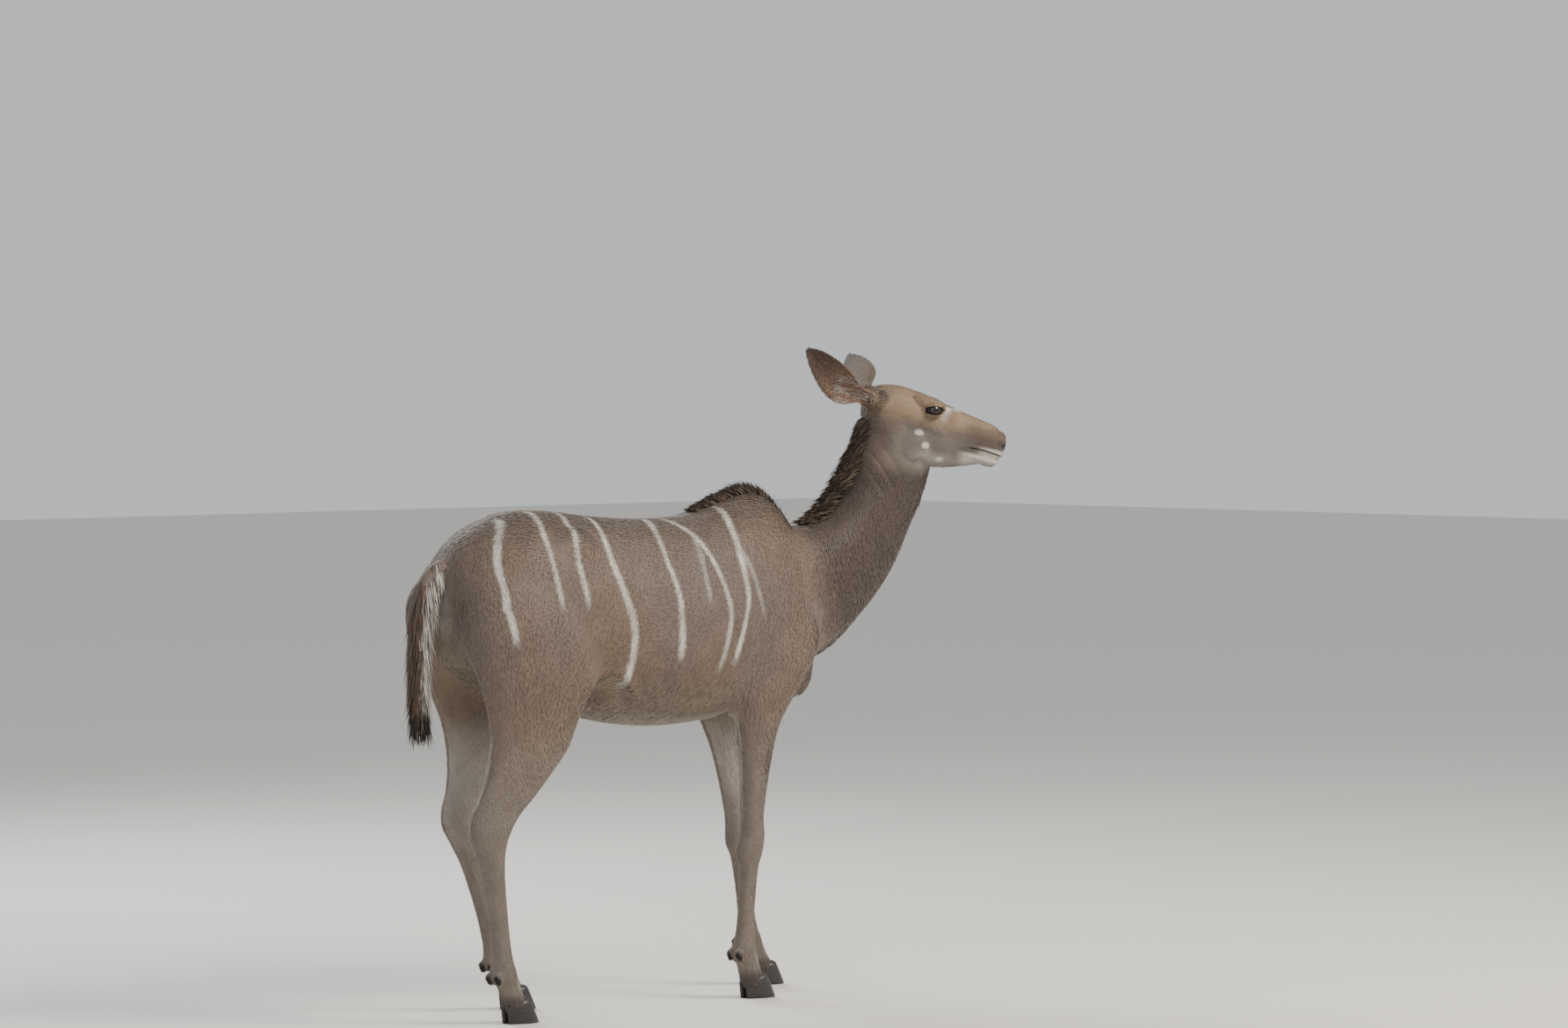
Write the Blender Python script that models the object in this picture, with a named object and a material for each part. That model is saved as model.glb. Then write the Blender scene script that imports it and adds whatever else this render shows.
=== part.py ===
"""Greater kudu cow, life size, standing with her neck raised and her head turned to her right.

Metres, +Z up. The cow faces +X, her left side is +Y, and her hooves stand on z = 0.
The flesh is modelled whole, from lofted forms that are fused and relaxed, and is then parted by thin cuts.
"""

import math
import random

import bmesh
import bpy
import numpy as np
from mathutils import Matrix, Vector
from mathutils.bvhtree import BVHTree

# Sizes of the whole animal.
WITHERS_HEIGHT = 1.20
CROUP_HEIGHT = 1.175
HEAD_PITCH = math.radians(12)  # the nose points this far below level
HEAD_TURN = math.radians(31)  # the head looks this far to the cow's right
POLL = Vector((0.700, -0.052, 1.454))  # the top of the head, between the ears
GAP = 0.0003  # between two nodes that touch
EAR_LENGTH = 0.255
EAR_ROOT_RADIUS = 0.021
EYE_RADIUS = 0.0195
EYE_PLACE = Vector((0.150, 0.0475, -0.030))  # in the head's own frame, on the left
EYE_AXIS = Vector((0.20, 0.96, 0.10)).normalized()
CORONET_HEIGHT = 0.050  # where horn meets skin, at the middle of the foot
CORONET_SLOPE = 0.30  # its rise towards the toe
HOOF_LENGTH = 0.082
CLAW_WIDTH = 0.029
BODY_TRIANGLES = 5000
HEAD_TRIANGLES = 2350

# The trunk, section by section: place along the body, back line, belly line, half width, low belly.
TRUNK = (
    (-0.645, 1.050, 0.930, 0.045, 0.00),
    (-0.610, 1.098, 0.850, 0.100, 0.00),
    (-0.540, 1.143, 0.790, 0.140, 0.00),
    (-0.440, CROUP_HEIGHT - 0.004, 0.745, 0.166, 0.02),
    (-0.330, CROUP_HEIGHT - 0.004, 0.725, 0.172, 0.05),
    (-0.200, CROUP_HEIGHT - 0.018, 0.680, 0.188, 0.10),
    (-0.040, CROUP_HEIGHT - 0.028, 0.655, 0.208, 0.14),
    (0.110, CROUP_HEIGHT - 0.023, 0.658, 0.204, 0.12),
    (0.230, WITHERS_HEIGHT - 0.018, 0.672, 0.180, 0.10),
    (0.330, WITHERS_HEIGHT, 0.684, 0.150, 0.10),
    (0.410, WITHERS_HEIGHT - 0.040, 0.700, 0.122, 0.06),
    (0.470, WITHERS_HEIGHT - 0.130, 0.735, 0.098, 0.04),
    (0.510, WITHERS_HEIGHT - 0.220, 0.790, 0.070, 0.00),
)

# The neck, from inside the shoulders to the head: centre, half width, half depth at the nape and throat.
NECK = (
    (0.320, 0.000, 0.960, 0.105, 0.170, 0.180),
    (0.470, 0.000, 0.990, 0.104, 0.140, 0.212),
    (0.580, -0.009, 1.045, 0.092, 0.096, 0.188),
    (0.662, -0.022, 1.112, 0.080, 0.084, 0.162),
    (0.722, -0.041, 1.190, 0.070, 0.088, 0.125),
    (0.754, -0.060, 1.270, 0.064, 0.092, 0.108),
    (0.764, -0.078, 1.345, 0.062, 0.088, 0.092),
    (0.768, -0.086, 1.395, 0.056, 0.070, 0.070),
)

# A foreleg from the shoulder down: height, front edge, rear edge, half width, distance from the middle.
FORELEG = (
    (0.960, 0.440, 0.290, 0.030, 0.085),
    (0.870, 0.462, 0.235, 0.048, 0.104),
    (0.790, 0.444, 0.198, 0.054, 0.113),
    (0.720, 0.396, 0.196, 0.052, 0.113),
    (0.660, 0.356, 0.218, 0.045, 0.109),
    (0.590, 0.338, 0.240, 0.036, 0.104),
    (0.500, 0.326, 0.253, 0.030, 0.101),
    (0.430, 0.321, 0.258, 0.027, 0.100),
    (0.390, 0.325, 0.258, 0.030, 0.100),
    (0.350, 0.322, 0.252, 0.030, 0.100),
    (0.310, 0.312, 0.262, 0.023, 0.100),
    (0.220, 0.308, 0.264, 0.0195, 0.100),
    (0.155, 0.309, 0.260, 0.0215, 0.100),
    (0.120, 0.316, 0.252, 0.0270, 0.100),
    (0.085, 0.327, 0.268, 0.0250, 0.100),
    (0.055, 0.340, 0.281, 0.0280, 0.100),
    (0.020, 0.352, 0.292, 0.0280, 0.100),
)

# A hind leg from the hip down, in the same columns.
HINDLEG = (
    (1.060, -0.380, -0.585, 0.050, 0.080),
    (0.980, -0.335, -0.650, 0.078, 0.098),
    (0.900, -0.300, -0.662, 0.086, 0.108),
    (0.820, -0.286, -0.642, 0.080, 0.116),
    (0.750, -0.310, -0.618, 0.068, 0.120),
    (0.690, -0.336, -0.604, 0.055, 0.119),
    (0.630, -0.364, -0.602, 0.046, 0.116),
    (0.570, -0.418, -0.612, 0.039, 0.113),
    (0.520, -0.466, -0.632, 0.033, 0.110),
    (0.480, -0.510, -0.655, 0.030, 0.108),
    (0.440, -0.543, -0.660, 0.033, 0.108),
    (0.400, -0.559, -0.644, 0.029, 0.108),
    (0.340, -0.562, -0.622, 0.0225, 0.108),
    (0.230, -0.553, -0.602, 0.0200, 0.108),
    (0.160, -0.545, -0.597, 0.0220, 0.108),
    (0.120, -0.534, -0.599, 0.0275, 0.108),
    (0.085, -0.522, -0.581, 0.0250, 0.108),
    (0.055, -0.510, -0.569, 0.0280, 0.108),
    (0.020, -0.498, -0.558, 0.0280, 0.108),
)

# The stance: shift of the whole leg, swing of the hoof from the pivot's height, and the pivot's height.
STANCE = {
    "foreleg_right": (-0.015, -0.055, 0.85),
    "foreleg_left": (0.030, 0.135, 0.85),
    "hindleg_right": (0.0, 0.020, 0.98),
    "hindleg_left": (0.0, 0.215, 0.98),
}

# The head in its own frame, +X to the nose: place, top, underside, half width above and at the jaw.
SKULL = (
    (-0.012, -0.030, -0.085, 0.034, 0.034),
    (0.004, -0.010, -0.100, 0.050, 0.044),
    (0.028, 0.004, -0.118, 0.059, 0.050),
    (0.062, 0.010, -0.136, 0.061, 0.048),
    (0.100, 0.011, -0.153, 0.060, 0.046),
    (0.140, 0.006, -0.165, 0.056, 0.043),
    (0.180, -0.004, -0.165, 0.050, 0.038),
    (0.220, -0.012, -0.158, 0.044, 0.034),
    (0.258, -0.020, -0.148, 0.040, 0.032),
    (0.296, -0.027, -0.136, 0.039, 0.031),
    (0.325, -0.034, -0.127, 0.037, 0.030),
    (0.345, -0.050, -0.116, 0.031, 0.025),
    (0.356, -0.068, -0.104, 0.021, 0.016),
)

# The tail under its hair: centre, half width, half thickness. It starts inside the rump and hangs down.
TAIL = (
    (-0.580, 1.046, 0.026, 0.022),
    (-0.640, 1.048, 0.024, 0.020),
    (-0.685, 1.020, 0.020, 0.016),
    (-0.704, 0.960, 0.015, 0.012),
    (-0.710, 0.870, 0.012, 0.009),
    (-0.710, 0.780, 0.009, 0.007),
    (-0.706, 0.710, 0.004, 0.003),
)

# Each ear: its root, the way it points and opens, in the head's own frame, and the bend of its tip sideways.
EARS = {
    "ear_right": ((0.014, -0.046, -0.034), (-0.957, -0.290, 0.020), (0.198, -0.955, -0.219), 0.078),
    "ear_left": ((0.016, 0.046, -0.030), (-0.20, 0.86, 0.42), (0.70, 0.42, -0.55), -0.015),
}

# An ear's shell from root to tip: share of its length, half its girth, half its spread and how hollow it is.
EAR_SHELL = (
    (0.00, 0.0210, 150, 0.00),
    (0.08, 0.0260, 140, 0.25),
    (0.17, 0.0360, 112, 0.80),
    (0.28, 0.0480, 92, 1.0),
    (0.40, 0.0580, 80, 1.0),
    (0.52, 0.0620, 74, 1.0),
    (0.64, 0.0600, 70, 1.0),
    (0.76, 0.0510, 66, 1.0),
    (0.87, 0.0370, 60, 1.0),
    (0.95, 0.0210, 54, 1.0),
    (1.00, 0.0080, 48, 1.0),
)
EAR_STALK = 0.022  # how far the root of an ear stands out from the skull
EAR_SHELL_THICK = 0.0050
EAR_TIP_FORWARD = 0.030  # the bend of its tip towards its opening

# The planes that part the nodes: a point on each and the way it faces.
NECK_CUT = ((-0.010, 0, -0.072), (-0.69, 0, -0.72))  # behind the jaw, in the head's own frame
SHOULDER_CUT = ((0.470, 0, 1.080), (0.94, 0, 0.34))
TAIL_CUT = ((-0.668, 0, 1.034), (-0.80, 0, -0.60))
FORELEG_CUT = ((0.20, 0, 0.615), (0.32, 0.55, -1))
HINDLEG_CUT = ((-0.33, 0, 0.650), (-0.286, 0.50, -1))

EYE_OPENING = (0.0205, 0.0105, 0.0075)  # half its length, and its height above and below the middle
LIP_LINE = (0.300, -0.1045)  # the middle of the mouth, seen from the side
LIP_GROOVE = 0.0045
NOSTRIL_PLACE = Vector((0.3475, 0.0205, -0.0755))
NOSTRIL_SIZE = (0.0135, 0.0055, 0.0085)

# Long hair, in tapered locks. The rows stand side by side and are staggered.
MANE_LOCKS = 36
MANE_LENGTH = 0.064
MANE_REACH = (0.29, 0.83)  # its stretch of the neck, as shares of the way from the shoulders to the head
MANE_ROW = 0.16  # the rows' turn from the middle of the nape
CREST_LOCKS = 22
CREST_LENGTH = 0.060
CREST_REACH = (0.420, 0.175)  # along the withers, from the neck backwards
CREST_ROW = 0.009
TAIL_LOCKS = 17
TAIL_LOCK_LENGTH = 0.105
TAIL_HAIR = (0.985, 0.728)  # heights of its first and last roots
LOCK_SINK = 0.013
LOCK_STATIONS = ((0.0, 0.90), (0.35, 1.0), (0.72, 0.66), (1.0, 0.10))  # length, width

COAT = (0.215, 0.135, 0.088, 1.0)
HORN_BLACK = (0.012, 0.011, 0.010, 1.0)
EYE_BROWN = (0.020, 0.009, 0.005, 1.0)


def clear_scene():
    for obj in list(bpy.data.objects):
        bpy.data.objects.remove(obj)


def finish(name, rgba, roughness):
    """A material of its own for one node."""
    made = bpy.data.materials.new(name)
    made.use_nodes = True
    shader = made.node_tree.nodes["Principled BSDF"]
    shader.inputs["Base Color"].default_value = rgba
    shader.inputs["Roughness"].default_value = roughness
    made.diffuse_color = rgba
    return made


def object_of(name, shape):
    """A new object from a bmesh, which is freed."""
    mesh = bpy.data.meshes.new(name)
    shape.to_mesh(mesh)
    shape.free()
    obj = bpy.data.objects.new(name, mesh)
    bpy.context.scene.collection.objects.link(obj)
    return obj


def mesh_object(name, points, faces):
    """A closed mesh object with its faces pointing out."""
    mesh = bpy.data.meshes.new(name)
    mesh.from_pydata([tuple(map(float, p)) for p in points], [], [tuple(map(int, f)) for f in faces])
    shape = bmesh.new()
    shape.from_mesh(mesh)
    bpy.data.meshes.remove(mesh)
    bmesh.ops.recalc_face_normals(shape, faces=shape.faces[:])
    return object_of(name, shape)


def between(rows, steps):
    """The rows with steps stretches between each two, on a smooth curve through them all."""
    rows = np.array(rows, float)
    ends = np.vstack([2 * rows[0] - rows[1], rows, 2 * rows[-1] - rows[-2]])
    made = []
    for i in range(len(rows) - 1):
        a, b, c, d = ends[i : i + 4]
        for t in np.arange(steps) / steps:
            cubic = (3 * b - a - 3 * c + d) * t**3
            made.append(0.5 * (2 * b + (c - a) * t + (2 * a - 5 * b + 4 * c - d) * t**2 + cubic))
    made.append(rows[-1])
    return np.array(made)


def step_up(values, low, high):
    """0 below low, 1 above high, smooth between."""
    t = np.clip((values - low) / (high - low), 0, 1)
    return t * t * (3 - 2 * t)


def tube(name, rings):
    """A closed form from rings of points, with a flat cap at each end."""
    rings = np.array(rings)
    count, sides = rings.shape[:2]
    faces = []
    for i in range(count - 1):
        for j in range(sides):
            k = (j + 1) % sides
            faces.append((i * sides + j, i * sides + k, (i + 1) * sides + k, (i + 1) * sides + j))
    faces.append(tuple(range(sides))[::-1])
    faces.append(tuple((count - 1) * sides + j for j in range(sides)))
    return mesh_object(name, rings.reshape(-1, 3), faces)


def oval(sides, front, back, half_width, low=0.0, square=2.0):
    """Places round one section: along its depth and across. low widens it towards its back or underside."""
    turn = 2 * math.pi * np.arange(sides) / sides
    deep = np.sign(np.cos(turn)) * np.abs(np.cos(turn)) ** (2 / square)
    wide = np.sign(np.sin(turn)) * np.abs(np.sin(turn)) ** (2 / square)
    return np.where(deep > 0, deep * front, deep * back), wide * half_width * (1 - low * deep)


def egg(centre, radii, tilt=0.0, turn=0.0, lean=0.0):
    """A round mass of muscle or bone, tilted nose up, turned about the upright axis and leaning to the right."""
    shape = bmesh.new()
    bmesh.ops.create_icosphere(shape, subdivisions=3, radius=1.0)
    place = Matrix.Translation(centre) @ Matrix.Rotation(turn, 4, "Z") @ Matrix.Rotation(lean, 4, "X")
    place = place @ Matrix.Rotation(-tilt, 4, "Y")
    bmesh.ops.transform(shape, matrix=place @ Matrix.Diagonal((*radii, 1)), verts=shape.verts)
    return object_of("egg", shape)


def trunk_form():
    rings = []
    for x, top, bottom, half_width, low in between(TRUNK, 4):
        middle = (top + bottom) / 2
        deep, wide = oval(32, top - middle, middle - bottom, half_width, low, 2.15)
        rings.append(np.stack([np.full(32, x), wide, middle + deep], axis=1))
    return tube("trunk", rings)


def neck_frames(steps=4):
    """Each section of the neck: centre, across, towards the nape, half width, nape and throat depth."""
    rows = between(NECK, steps)
    along = np.gradient(rows[:, :3], axis=0)
    made = []
    for i, row in enumerate(rows):
        forward = Vector(along[i]).normalized()
        share = i / (len(rows) - 1)
        side = Matrix.Rotation(-HEAD_TURN * share**1.5, 3, "Z") @ Vector((0, 1, 0))
        side = (side - side.dot(forward) * forward).normalized()
        made.append((Vector(row[:3]), side, forward.cross(side), *row[3:]))
    return made


def neck_form():
    rings = []
    for centre, side, nape, half_width, nape_depth, throat_depth in neck_frames():
        deep, wide = oval(28, nape_depth, throat_depth, half_width, -0.10, 2.0)
        rings.append([tuple(centre + nape * d + side * w) for d, w in zip(deep, wide)])
    return tube("neck", rings)


def leg_shift(name, height):
    """How far a leg stands ahead of the plain stance at a height."""
    whole, swing, pivot = STANCE[name]
    return whole * step_up(1.0 - height, 0.0, 0.25) + swing * np.clip((pivot - height) / pivot, 0, 1)


def leg_side(name):
    return 1 if name.endswith("left") else -1


def leg_rows(name):
    return FORELEG if name.startswith("fore") else HINDLEG


def leg_form(name):
    rings = []
    for height, front, rear, half_width, off in between(leg_rows(name), 3):
        middle = (front + rear) / 2
        deep, wide = oval(24, front - middle, middle - rear, half_width, 0.0, 2.1)
        x = middle + deep + leg_shift(name, height)
        rings.append(np.stack([x, leg_side(name) * off + wide, np.full(24, height)], axis=1))
    return tube(name, rings)


def dewclaws(name):
    """The two small claws behind a fetlock."""
    height, _, rear, _, off = next(row for row in leg_rows(name) if row[0] == 0.120)
    x = rear + 0.002 + leg_shift(name, height)
    made = []
    for claw in (-1, 1):
        place = (x, leg_side(name) * off + claw * 0.015, height - 0.014)
        made.append(egg(place, (0.012, 0.0095, 0.017), math.radians(25)))
    return made


def muscles():
    """The forms that show under the coat: shoulder blade, upper arm, breast, hip bone, thigh, stifle and flank fold."""
    made = [egg((-0.300, 0, 0.712), (0.075, 0.060, 0.030))]
    for side in (-1, 1):
        made += [
            egg((0.330, side * 0.078, 1.000), (0.072, 0.040, 0.165), math.radians(20), 0.0, side * 0.26),
            egg((0.372, side * 0.100, 0.835), (0.110, 0.046, 0.075), math.radians(22)),
            egg((0.290, side * 0.110, 0.800), (0.080, 0.048, 0.085), math.radians(10)),
            egg((0.275, side * 0.108, 0.900), (0.105, 0.044, 0.110), math.radians(30), 0.0, side * 0.10),
            egg((0.430, side * 0.046, 0.780), (0.062, 0.050, 0.080), math.radians(20)),
            egg((-0.345, side * 0.101, 1.080), (0.090, 0.052, 0.055), math.radians(12)),
            egg((-0.440, side * 0.098, 0.960), (0.150, 0.075, 0.160), math.radians(20)),
            egg((-0.556, side * 0.070, 0.935), (0.090, 0.060, 0.125)),
            egg((-0.360, side * 0.122, 0.800), (0.072, 0.050, 0.100), math.radians(10)),
            egg((-0.230, side * 0.122, 0.850), (0.085, 0.046, 0.066), math.radians(30)),
        ]
    return made


def tail_rings(rows):
    rings = []
    points = between(rows, 3)
    along = np.gradient(points[:, :2], axis=0)
    for (x, z, half_width, half_depth), (dx, dz) in zip(points, along):
        out = np.array((-dz, 0, dx)) / math.hypot(dx, dz)
        deep, wide = oval(12, half_depth, half_depth, half_width)
        rings.append(np.array((x, 0, z)) + deep[:, None] * out + wide[:, None] * np.array((0, 1, 0)))
    return rings


def head_place():
    """From the head's own frame to the cow's."""
    turn = Matrix.Rotation(-HEAD_TURN, 4, "Z") @ Matrix.Rotation(HEAD_PITCH, 4, "Y")
    return Matrix.Translation(POLL) @ turn


def skull_form():
    rings = []
    for x, top, bottom, wide_top, wide_low in between(SKULL, 4):
        middle = (top + bottom) / 2
        deep, wide = oval(32, top - middle, middle - bottom, 1.0, 0.0, 2.3)
        lift = step_up(deep / (top - middle), -0.75, 0.45)
        wide = wide * (wide_low + (wide_top - wide_low) * lift)
        rings.append(np.stack([np.full(32, x), wide, middle + deep], axis=1))
    return tube("skull", rings)


def ear_frame(name):
    """An ear's root, the way it points and the way it opens, in the head's own frame."""
    root, axis, opening = (Vector(v) for v in EARS[name][:3])
    axis.normalize()
    return root, axis, (opening - opening.dot(axis) * axis).normalized()


def ear_stalk(name):
    """The root of an ear, which stands out of the skull along the ear's own line."""
    root, axis, _ = ear_frame(name)
    side = axis.orthogonal().normalized()
    other = axis.cross(side)
    rings = []
    for t in np.linspace(-0.030, EAR_STALK + 0.012, 6):
        radius = EAR_ROOT_RADIUS + 0.010 * step_up(-t, -0.012, 0.020)
        turn = 2 * math.pi * np.arange(16) / 16
        rings.append([tuple(root + axis * t + side * radius * math.cos(a) + other * radius * math.sin(a)) for a in turn])
    return tube("stalk", rings)


def head_eggs():
    """Brow, lids, cheek bone, jaw muscle, nostril wings, lips and chin."""
    made = [
        egg((0.338, 0, -0.066), (0.018, 0.026, 0.024), math.radians(-20)),
        egg((0.316, 0, -0.122), (0.027, 0.023, 0.013), math.radians(-10)),
        egg((0.070, 0, -0.010), (0.070, 0.040, 0.024)),
    ]
    for side in (-1, 1):
        eye = Vector((EYE_PLACE.x, side * EYE_PLACE.y, EYE_PLACE.z))
        made += [
            egg(eye, (EYE_RADIUS + 0.0045,) * 3),
            egg((0.140, side * 0.038, -0.016), (0.046, 0.023, 0.019), math.radians(-6), side * 0.06),
            egg((0.182, side * 0.027, -0.040), (0.050, 0.018, 0.030), math.radians(-10)),
            egg((0.130, side * 0.039, -0.064), (0.080, 0.017, 0.022), math.radians(-12), side * -0.04),
            egg((0.108, side * 0.031, -0.104), (0.066, 0.021, 0.058), math.radians(-25)),
            egg((0.060, side * 0.040, -0.070), (0.050, 0.018, 0.050), math.radians(-10)),
            egg((0.333, side * 0.023, -0.066), (0.022, 0.0125, 0.018), math.radians(-30), side * 0.25),
            egg((0.306, side * 0.0215, -0.091), (0.048, 0.0135, 0.013), math.radians(-6), side * -0.08),
            egg((0.296, side * 0.018, -0.119), (0.048, 0.0125, 0.011), math.radians(-6), side * -0.08),
        ]
    return made


def fuse(name, forms, voxel):
    """One closed skin round all the forms, which are then removed."""
    shape = bmesh.new()
    for form in forms:
        shape.from_mesh(form.data)
        bpy.data.objects.remove(form)
    obj = object_of(name, shape)
    remesh = obj.modifiers.new("skin", "REMESH")
    remesh.mode = "VOXEL"
    remesh.voxel_size = voxel
    return settle(obj)


def settle(obj):
    """Turns an object's modifiers into plain mesh."""
    graph = bpy.context.evaluated_depsgraph_get()
    made = bpy.data.meshes.new_from_object(obj.evaluated_get(graph))
    obj.modifiers.clear()
    obj.data = made
    return obj


def relax(obj, rounds, weight=None, keep=0.0):
    """Smooths a mesh by moving each point towards its neighbours' mean. keep undoes the shrinking."""
    mesh = obj.data
    count = len(mesh.vertices)
    points = np.empty(count * 3)
    mesh.vertices.foreach_get("co", points)
    points = points.reshape(-1, 3)
    ends = np.empty(len(mesh.edges) * 2, int)
    mesh.edges.foreach_get("vertices", ends)
    a, b = ends.reshape(-1, 2).T
    degree = np.bincount(a, minlength=count) + np.bincount(b, minlength=count)
    share = np.full(count, 0.5) if weight is None else 0.5 * weight(points)
    for sign in (1.0, -keep) * rounds if keep else (1.0,) * rounds:
        near = [np.bincount(a, points[b, k], count) + np.bincount(b, points[a, k], count) for k in range(3)]
        points = points + sign * share[:, None] * (np.stack(near, axis=1) / degree[:, None] - points)
    mesh.vertices.foreach_set("co", points.ravel())
    mesh.update()
    return obj


def thin_out(obj, triangles):
    """The same surface in about this many triangles, few where it is flat."""
    shape = bmesh.new()
    shape.from_mesh(obj.data)
    bmesh.ops.triangulate(shape, faces=shape.faces[:])
    shape.to_mesh(obj.data)
    shape.free()
    modifier = obj.modifiers.new("thin", "DECIMATE")
    modifier.ratio = triangles / len(obj.data.polygons)
    return settle(obj)


def copy_of(obj, name):
    made = bpy.data.objects.new(name, obj.data.copy())
    bpy.context.scene.collection.objects.link(made)
    return made


def cut_away(obj, point, normal, reach=None):
    """Removes what lies beyond a plane, along its normal, and closes the cut. With reach, only near the point."""
    point = Vector(point)
    normal = Vector(normal).normalized()
    shape = bmesh.new()
    shape.from_mesh(obj.data)

    def is_near(face):
        return reach is None or (face.calc_center_median() - point).length < reach

    faces = [face for face in shape.faces if is_near(face)]
    edges = {edge for face in faces for edge in face.edges}
    points = {vert for face in faces for vert in face.verts}
    bmesh.ops.bisect_plane(shape, geom=[*faces, *edges, *points], plane_co=point, plane_no=normal, dist=1e-6)
    beyond = [f for f in shape.faces if is_near(f) and (f.calc_center_median() - point).dot(normal) > 0]
    bmesh.ops.delete(shape, geom=beyond, context="FACES")
    rim = [edge for edge in shape.edges if edge.is_boundary]
    caps = bmesh.ops.holes_fill(shape, edges=rim, sides=0)["faces"]
    bmesh.ops.triangulate(shape, faces=caps)
    bmesh.ops.recalc_face_normals(shape, faces=shape.faces[:])
    shape.to_mesh(obj.data)
    shape.free()
    return obj


def keep_piece(obj, near=None):
    """Keeps one closed surface: the largest, or the one whose points come nearest to a place."""
    shape = bmesh.new()
    shape.from_mesh(obj.data)
    left = set(shape.faces)
    pieces = []
    while left:
        piece = {left.pop()}
        front = list(piece)
        while front:
            for edge in front.pop().edges:
                for face in edge.link_faces:
                    if face in left:
                        left.remove(face)
                        piece.add(face)
                        front.append(face)
        pieces.append(piece)
    if near is None:
        best = max(pieces, key=lambda piece: sum(face.calc_area() for face in piece))
    else:
        near = Vector(near)
        best = min(pieces, key=lambda piece: min((face.calc_center_median() - near).length for face in piece))
    rest = [face for piece in pieces if piece is not best for face in piece]
    bmesh.ops.delete(shape, geom=rest, context="FACES")
    shape.to_mesh(obj.data)
    shape.free()
    return obj


def combine(obj, others, operation, solver="EXACT"):
    """One Boolean with a collection of closed forms, which are then removed."""
    group = bpy.data.collections.new("operands")
    for other in others:
        group.objects.link(other)
    boolean = obj.modifiers.new("combine", "BOOLEAN")
    boolean.operation = operation
    boolean.operand_type = "COLLECTION"
    boolean.collection = group
    boolean.solver = solver
    settle(obj)
    for other in others:
        bpy.data.objects.remove(other)
    bpy.data.collections.remove(group)
    return keep_piece(obj)


def body_weight(points):
    """Heavy flesh is smoothed most, the lower legs and the top of the neck least."""
    fleshy = step_up(points[:, 2], 0.56, 0.80) * (1 - step_up(points[:, 2], 1.08, 1.17))
    return 0.06 + 0.94 * fleshy


def whole_body():
    forms = [trunk_form(), neck_form(), tube("tail_root", tail_rings(TAIL[:4]))] + muscles()
    for name in STANCE:
        forms += [leg_form(name)] + dewclaws(name)
    body = fuse("body", forms, 0.0065)
    relax(body, 70, body_weight)
    relax(body, 5, None, 1.02)
    return thin_out(body, BODY_TRIANGLES)


def whole_head():
    forms = [skull_form()] + head_eggs() + [ear_stalk(name) for name in EARS]
    neck = neck_form()
    neck.data.transform(head_place().inverted())
    head = fuse("head", forms + [neck], 0.0030)
    relax(head, 13, None, 0.6)
    return head


def eye_frame(side):
    """The eye's centre, the way it looks, and the long and short ways of its opening, in the head's frame."""
    look = Vector((EYE_AXIS.x, side * EYE_AXIS.y, EYE_AXIS.z))
    long_way = Matrix.Rotation(math.radians(-10), 3, "Y") @ Vector((1, 0, 0))
    long_way = (long_way - long_way.dot(look) * look).normalized()
    return Vector((EYE_PLACE.x, side * EYE_PLACE.y, EYE_PLACE.z)), look, long_way, Vector((0, 0, 1))


def ball(name, centre, radius):
    shape = bmesh.new()
    bmesh.ops.create_icosphere(shape, subdivisions=3, radius=radius, matrix=Matrix.Translation(centre))
    return object_of(name, shape)


def eye_opening(side):
    """The almond between the lids, as a cutter that flares outwards."""
    centre, look, long_way, up = eye_frame(side)
    up = (up - up.dot(look) * look - up.dot(long_way) * long_way).normalized()
    rings = []
    for depth, size in ((0.30, 0.80), (0.85, 0.92), (1.15, 1.0), (1.60, 1.25)):
        ring = []
        for turn in 2 * math.pi * np.arange(16) / 16:
            wide = math.cos(turn)
            high = math.sin(turn) * EYE_OPENING[1 if math.sin(turn) > 0 else 2] * (1 - 0.35 * wide * wide)
            spread = long_way * EYE_OPENING[0] * wide + up * high
            ring.append(tuple(centre + look * EYE_RADIUS * depth + size * spread))
        rings.append(ring)
    return tube("opening", rings)


def mouth_cutter(tree):
    """The line between the lips, as a wedge that runs round the muzzle from corner to corner."""
    rings = []
    for turn in np.linspace(-1, 1, 27):
        along_cheek = max(0.0, abs(turn) - 0.5) * 2
        inside = Vector((LIP_LINE[0] - 0.045 * along_cheek, 0, LIP_LINE[1] + 0.004 * turn * turn))
        swing = math.radians(122) * min(abs(turn), 0.5)
        ahead = math.cos(swing) if along_cheek == 0 else 0.55 - 0.55 * along_cheek
        way = Vector((ahead, math.copysign(max(math.sin(swing), 1e-6), turn), 0)).normalized()
        hit = tree.ray_cast(inside, way)[0]
        outer = hit + way * 0.004
        inner = hit - way * LIP_GROOVE * (1 - 0.7 * abs(turn) ** 6)
        rings.append([tuple(outer + Vector((0, 0, 0.0016))), tuple(inner), tuple(outer - Vector((0, 0, 0.0016)))])
    return tube("mouth", rings)


def nostril_cutter(side):
    """A hollow that opens forwards and outwards."""
    centre = Vector((NOSTRIL_PLACE.x, side * NOSTRIL_PLACE.y, NOSTRIL_PLACE.z))
    place = Matrix.Translation(centre) @ Matrix.Rotation(side * math.radians(38), 4, "Z")
    place = place @ Matrix.Rotation(math.radians(35), 4, "Y") @ Matrix.Diagonal((*NOSTRIL_SIZE, 1))
    shape = bmesh.new()
    bmesh.ops.create_icosphere(shape, subdivisions=2, radius=1.0, matrix=place)
    return object_of("nostril", shape)


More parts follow.
